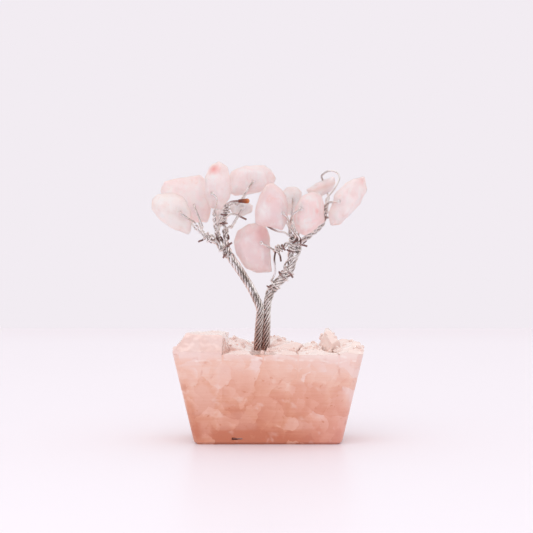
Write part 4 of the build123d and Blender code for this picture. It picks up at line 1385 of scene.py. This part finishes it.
@dataclass
class Studio:
    """A white table before a pale lavender wall, lit softly from above, with the camera low in front."""

    table: str = "#F5F1F8"
    table_end: str = "#F2ECF3"
    wall: str = "#F2ECF2"
    mirrored: str = "#FBF6F6"
    room: str = "#7C706C"
    daylight: str = "#FFFBFD"
    table_half_mm: float = 1600.0
    table_depth_mm: float = 397.0
    fade_from: float = 0.7
    lamp_place_mm: tuple[float, float, float] = (-120.0, -320.0, 370.0)
    lamp_side_mm: float = 420.0
    lamp_watts: float = 0.36
    aim_mm: float = 30.0
    camera_mm: tuple[float, float, float] = (-0.33, -350.0, 45.7)
    camera_down_deg: float = 1.31
    focal_px: float = 1610.0
    picture_px: float = 533.0
    sensor_mm: float = 36.0

    def build(self) -> None:
        """Set up the camera, the table, the world and the lamp."""
        scene = bpy.context.scene
        scene.view_settings.view_transform = "Standard"
        self.add_camera(scene)
        self.add_table(scene)
        self.add_world(scene)
        self.add_lamp(scene)
        LOG.info("studio: table, lamp and camera")

    def add_camera(self, scene: bpy.types.Scene) -> None:
        """Stand the camera where the photograph was taken.

        Args:
            scene: The scene.
        """
        camera = bpy.data.cameras.new("camera")
        camera.sensor_width = self.sensor_mm
        camera.lens = self.focal_px / self.picture_px * self.sensor_mm
        rig = bpy.data.objects.new("camera", camera)
        rig.location = Vector(self.camera_mm) * MM
        rig.rotation_euler = (math.radians(90 - self.camera_down_deg), 0.0, 0.0)
        scene.collection.objects.link(rig)
        scene.camera = rig

    def add_table(self, scene: bpy.types.Scene) -> None:
        """Lay the smooth table, which keeps the shadow and a faint reflection.

        Args:
            scene: The scene.
        """
        side, back = self.table_half_mm * MM, self.table_depth_mm * MM
        mesh = bpy.data.meshes.new("table")
        mesh.from_pydata([(-side, -side, 0), (side, -side, 0), (side, back, 0), (-side, back, 0)], [],
                         [(0, 1, 2, 3)])
        material, tree, shader, place = new_material("white_laminate")
        depth = add_node(tree, "ShaderNodeSeparateXYZ", inputs={"Vector": place})
        far = add_node(tree, "ShaderNodeMapRange", SMOOTH, {
            "Value": depth.outputs["Y"], "From Min": self.fade_from * back, "From Max": back})
        colour = lay_coats(tree, linear(self.table), [(far.outputs["Result"], self.table_end)])
        set_inputs(tree, shader, {"Base Color": colour, "Roughness": 0.36, "Specular IOR Level": 0.08})
        mesh.materials.append(material)
        table = bpy.data.objects.new("table", mesh)
        scene.collection.objects.link(table)

    def add_world(self, scene: bpy.types.Scene) -> None:
        """Surround the object with the pale wall and its light; only gloss sees the dim room in front.

        Args:
            scene: The scene.
        """
        world = bpy.data.worlds.new("studio")
        scene.world = world
        world.use_nodes = True
        tree = world.node_tree
        light = tree.nodes["Background"]
        set_inputs(tree, light, {"Color": linear(self.daylight), "Strength": 1.0})
        seen = add_node(tree, "ShaderNodeBackground", inputs={"Color": linear(self.wall), "Strength": 1.0})
        path = add_node(tree, "ShaderNodeLightPath").outputs
        way = add_node(tree, "ShaderNodeTexCoord").outputs["Generated"]
        ways = add_node(tree, "ShaderNodeSeparateXYZ", inputs={"Vector": way}).outputs
        front = add_node(tree, "ShaderNodeMapRange", SMOOTH, {
            "Value": ways["Y"], "From Min": 0.1, "From Max": -0.5})
        low = add_node(tree, "ShaderNodeMapRange", SMOOTH, {
            "Value": ways["Z"], "From Min": 0.55, "From Max": 0.15})
        dim = add_node(tree, "ShaderNodeMath", {"operation": "MULTIPLY"}, {
            0: front.outputs["Result"], 1: low.outputs["Result"]})
        around = lay_coats(tree, linear(self.mirrored), [(dim.outputs["Value"], self.room)])
        sheen = add_node(tree, "ShaderNodeBackground", inputs={"Color": around, "Strength": 1.0})
        straight = add_node(tree, "ShaderNodeMath", {"operation": "MAXIMUM"}, {
            0: path["Is Camera Ray"], 1: path["Is Transmission Ray"]})
        thrown = add_node(tree, "ShaderNodeMixShader", inputs={
            0: path["Is Glossy Ray"], 1: light.outputs["Background"], 2: sheen.outputs["Background"]})
        mixed = add_node(tree, "ShaderNodeMixShader", inputs={
            0: straight.outputs["Value"], 1: thrown.outputs["Shader"], 2: seen.outputs["Background"]})
        set_inputs(tree, tree.nodes["World Output"], {"Surface": mixed.outputs["Shader"]})

    def add_lamp(self, scene: bpy.types.Scene) -> None:
        """Hang one soft lamp that points at the middle of the object.

        Args:
            scene: The scene.
        """
        lamp = bpy.data.lights.new("overhead", "AREA")
        lamp.size = self.lamp_side_mm * MM
        lamp.energy = self.lamp_watts
        rig = bpy.data.objects.new("overhead", lamp)
        rig.location = Vector(self.lamp_place_mm) * MM
        aim = Vector((0.0, 0.0, self.aim_mm * MM))
        rig.rotation_euler = (aim - rig.location).to_track_quat("-Z", "Y").to_euler()
        scene.collection.objects.link(rig)


STONES = [
    DrilledStone("a", Tone.MILKY),
    DrilledStone("b", Tone.PEARL),
    DrilledStone("c", Tone.PEARL, [(Vector((-11.6, -4.6, 58.6)), 1.6, 0.9)]),
    DrilledStone("d", Tone.PEARL),
    DrilledStone("e", Tone.MILKY, flush=1.2),
    DrilledStone("f", Tone.ROSY),
    DrilledStone("g", Tone.BLUSH, [(Vector((10.5, -6.0, 49.7)), 0.8, 0.5)]),
    DrilledStone("h", Tone.PEARL),
    DrilledStone("i", Tone.PEARL, [(Vector((20.2, -3.6, 56.4)), 1.6, 0.4)]),
    DrilledStone("j", Tone.ROSY, [(Vector((0.3, -2.0, 44.9)), 3.6, 0.8)], flush=1.2),
    DrilledStone("k", Tone.MILKY, flush=1.2),
    DrilledStone("l", Tone.MILKY),
]


def main() -> None:
    """Build the sub-assemblies in order and report each piece."""
    logging.basicConfig(level=logging.INFO, format="%(message)s")
    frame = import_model()
    Studio().build()
    WireTree().build(frame)
    wires = wire_points(frame)
    for stone in STONES:
        stone.build(frame, wires)
    ChipBed().build(frame)
    ChipCrown().build(frame)
    GlueDrop().build(frame)


if __name__ == "__main__":
    main()
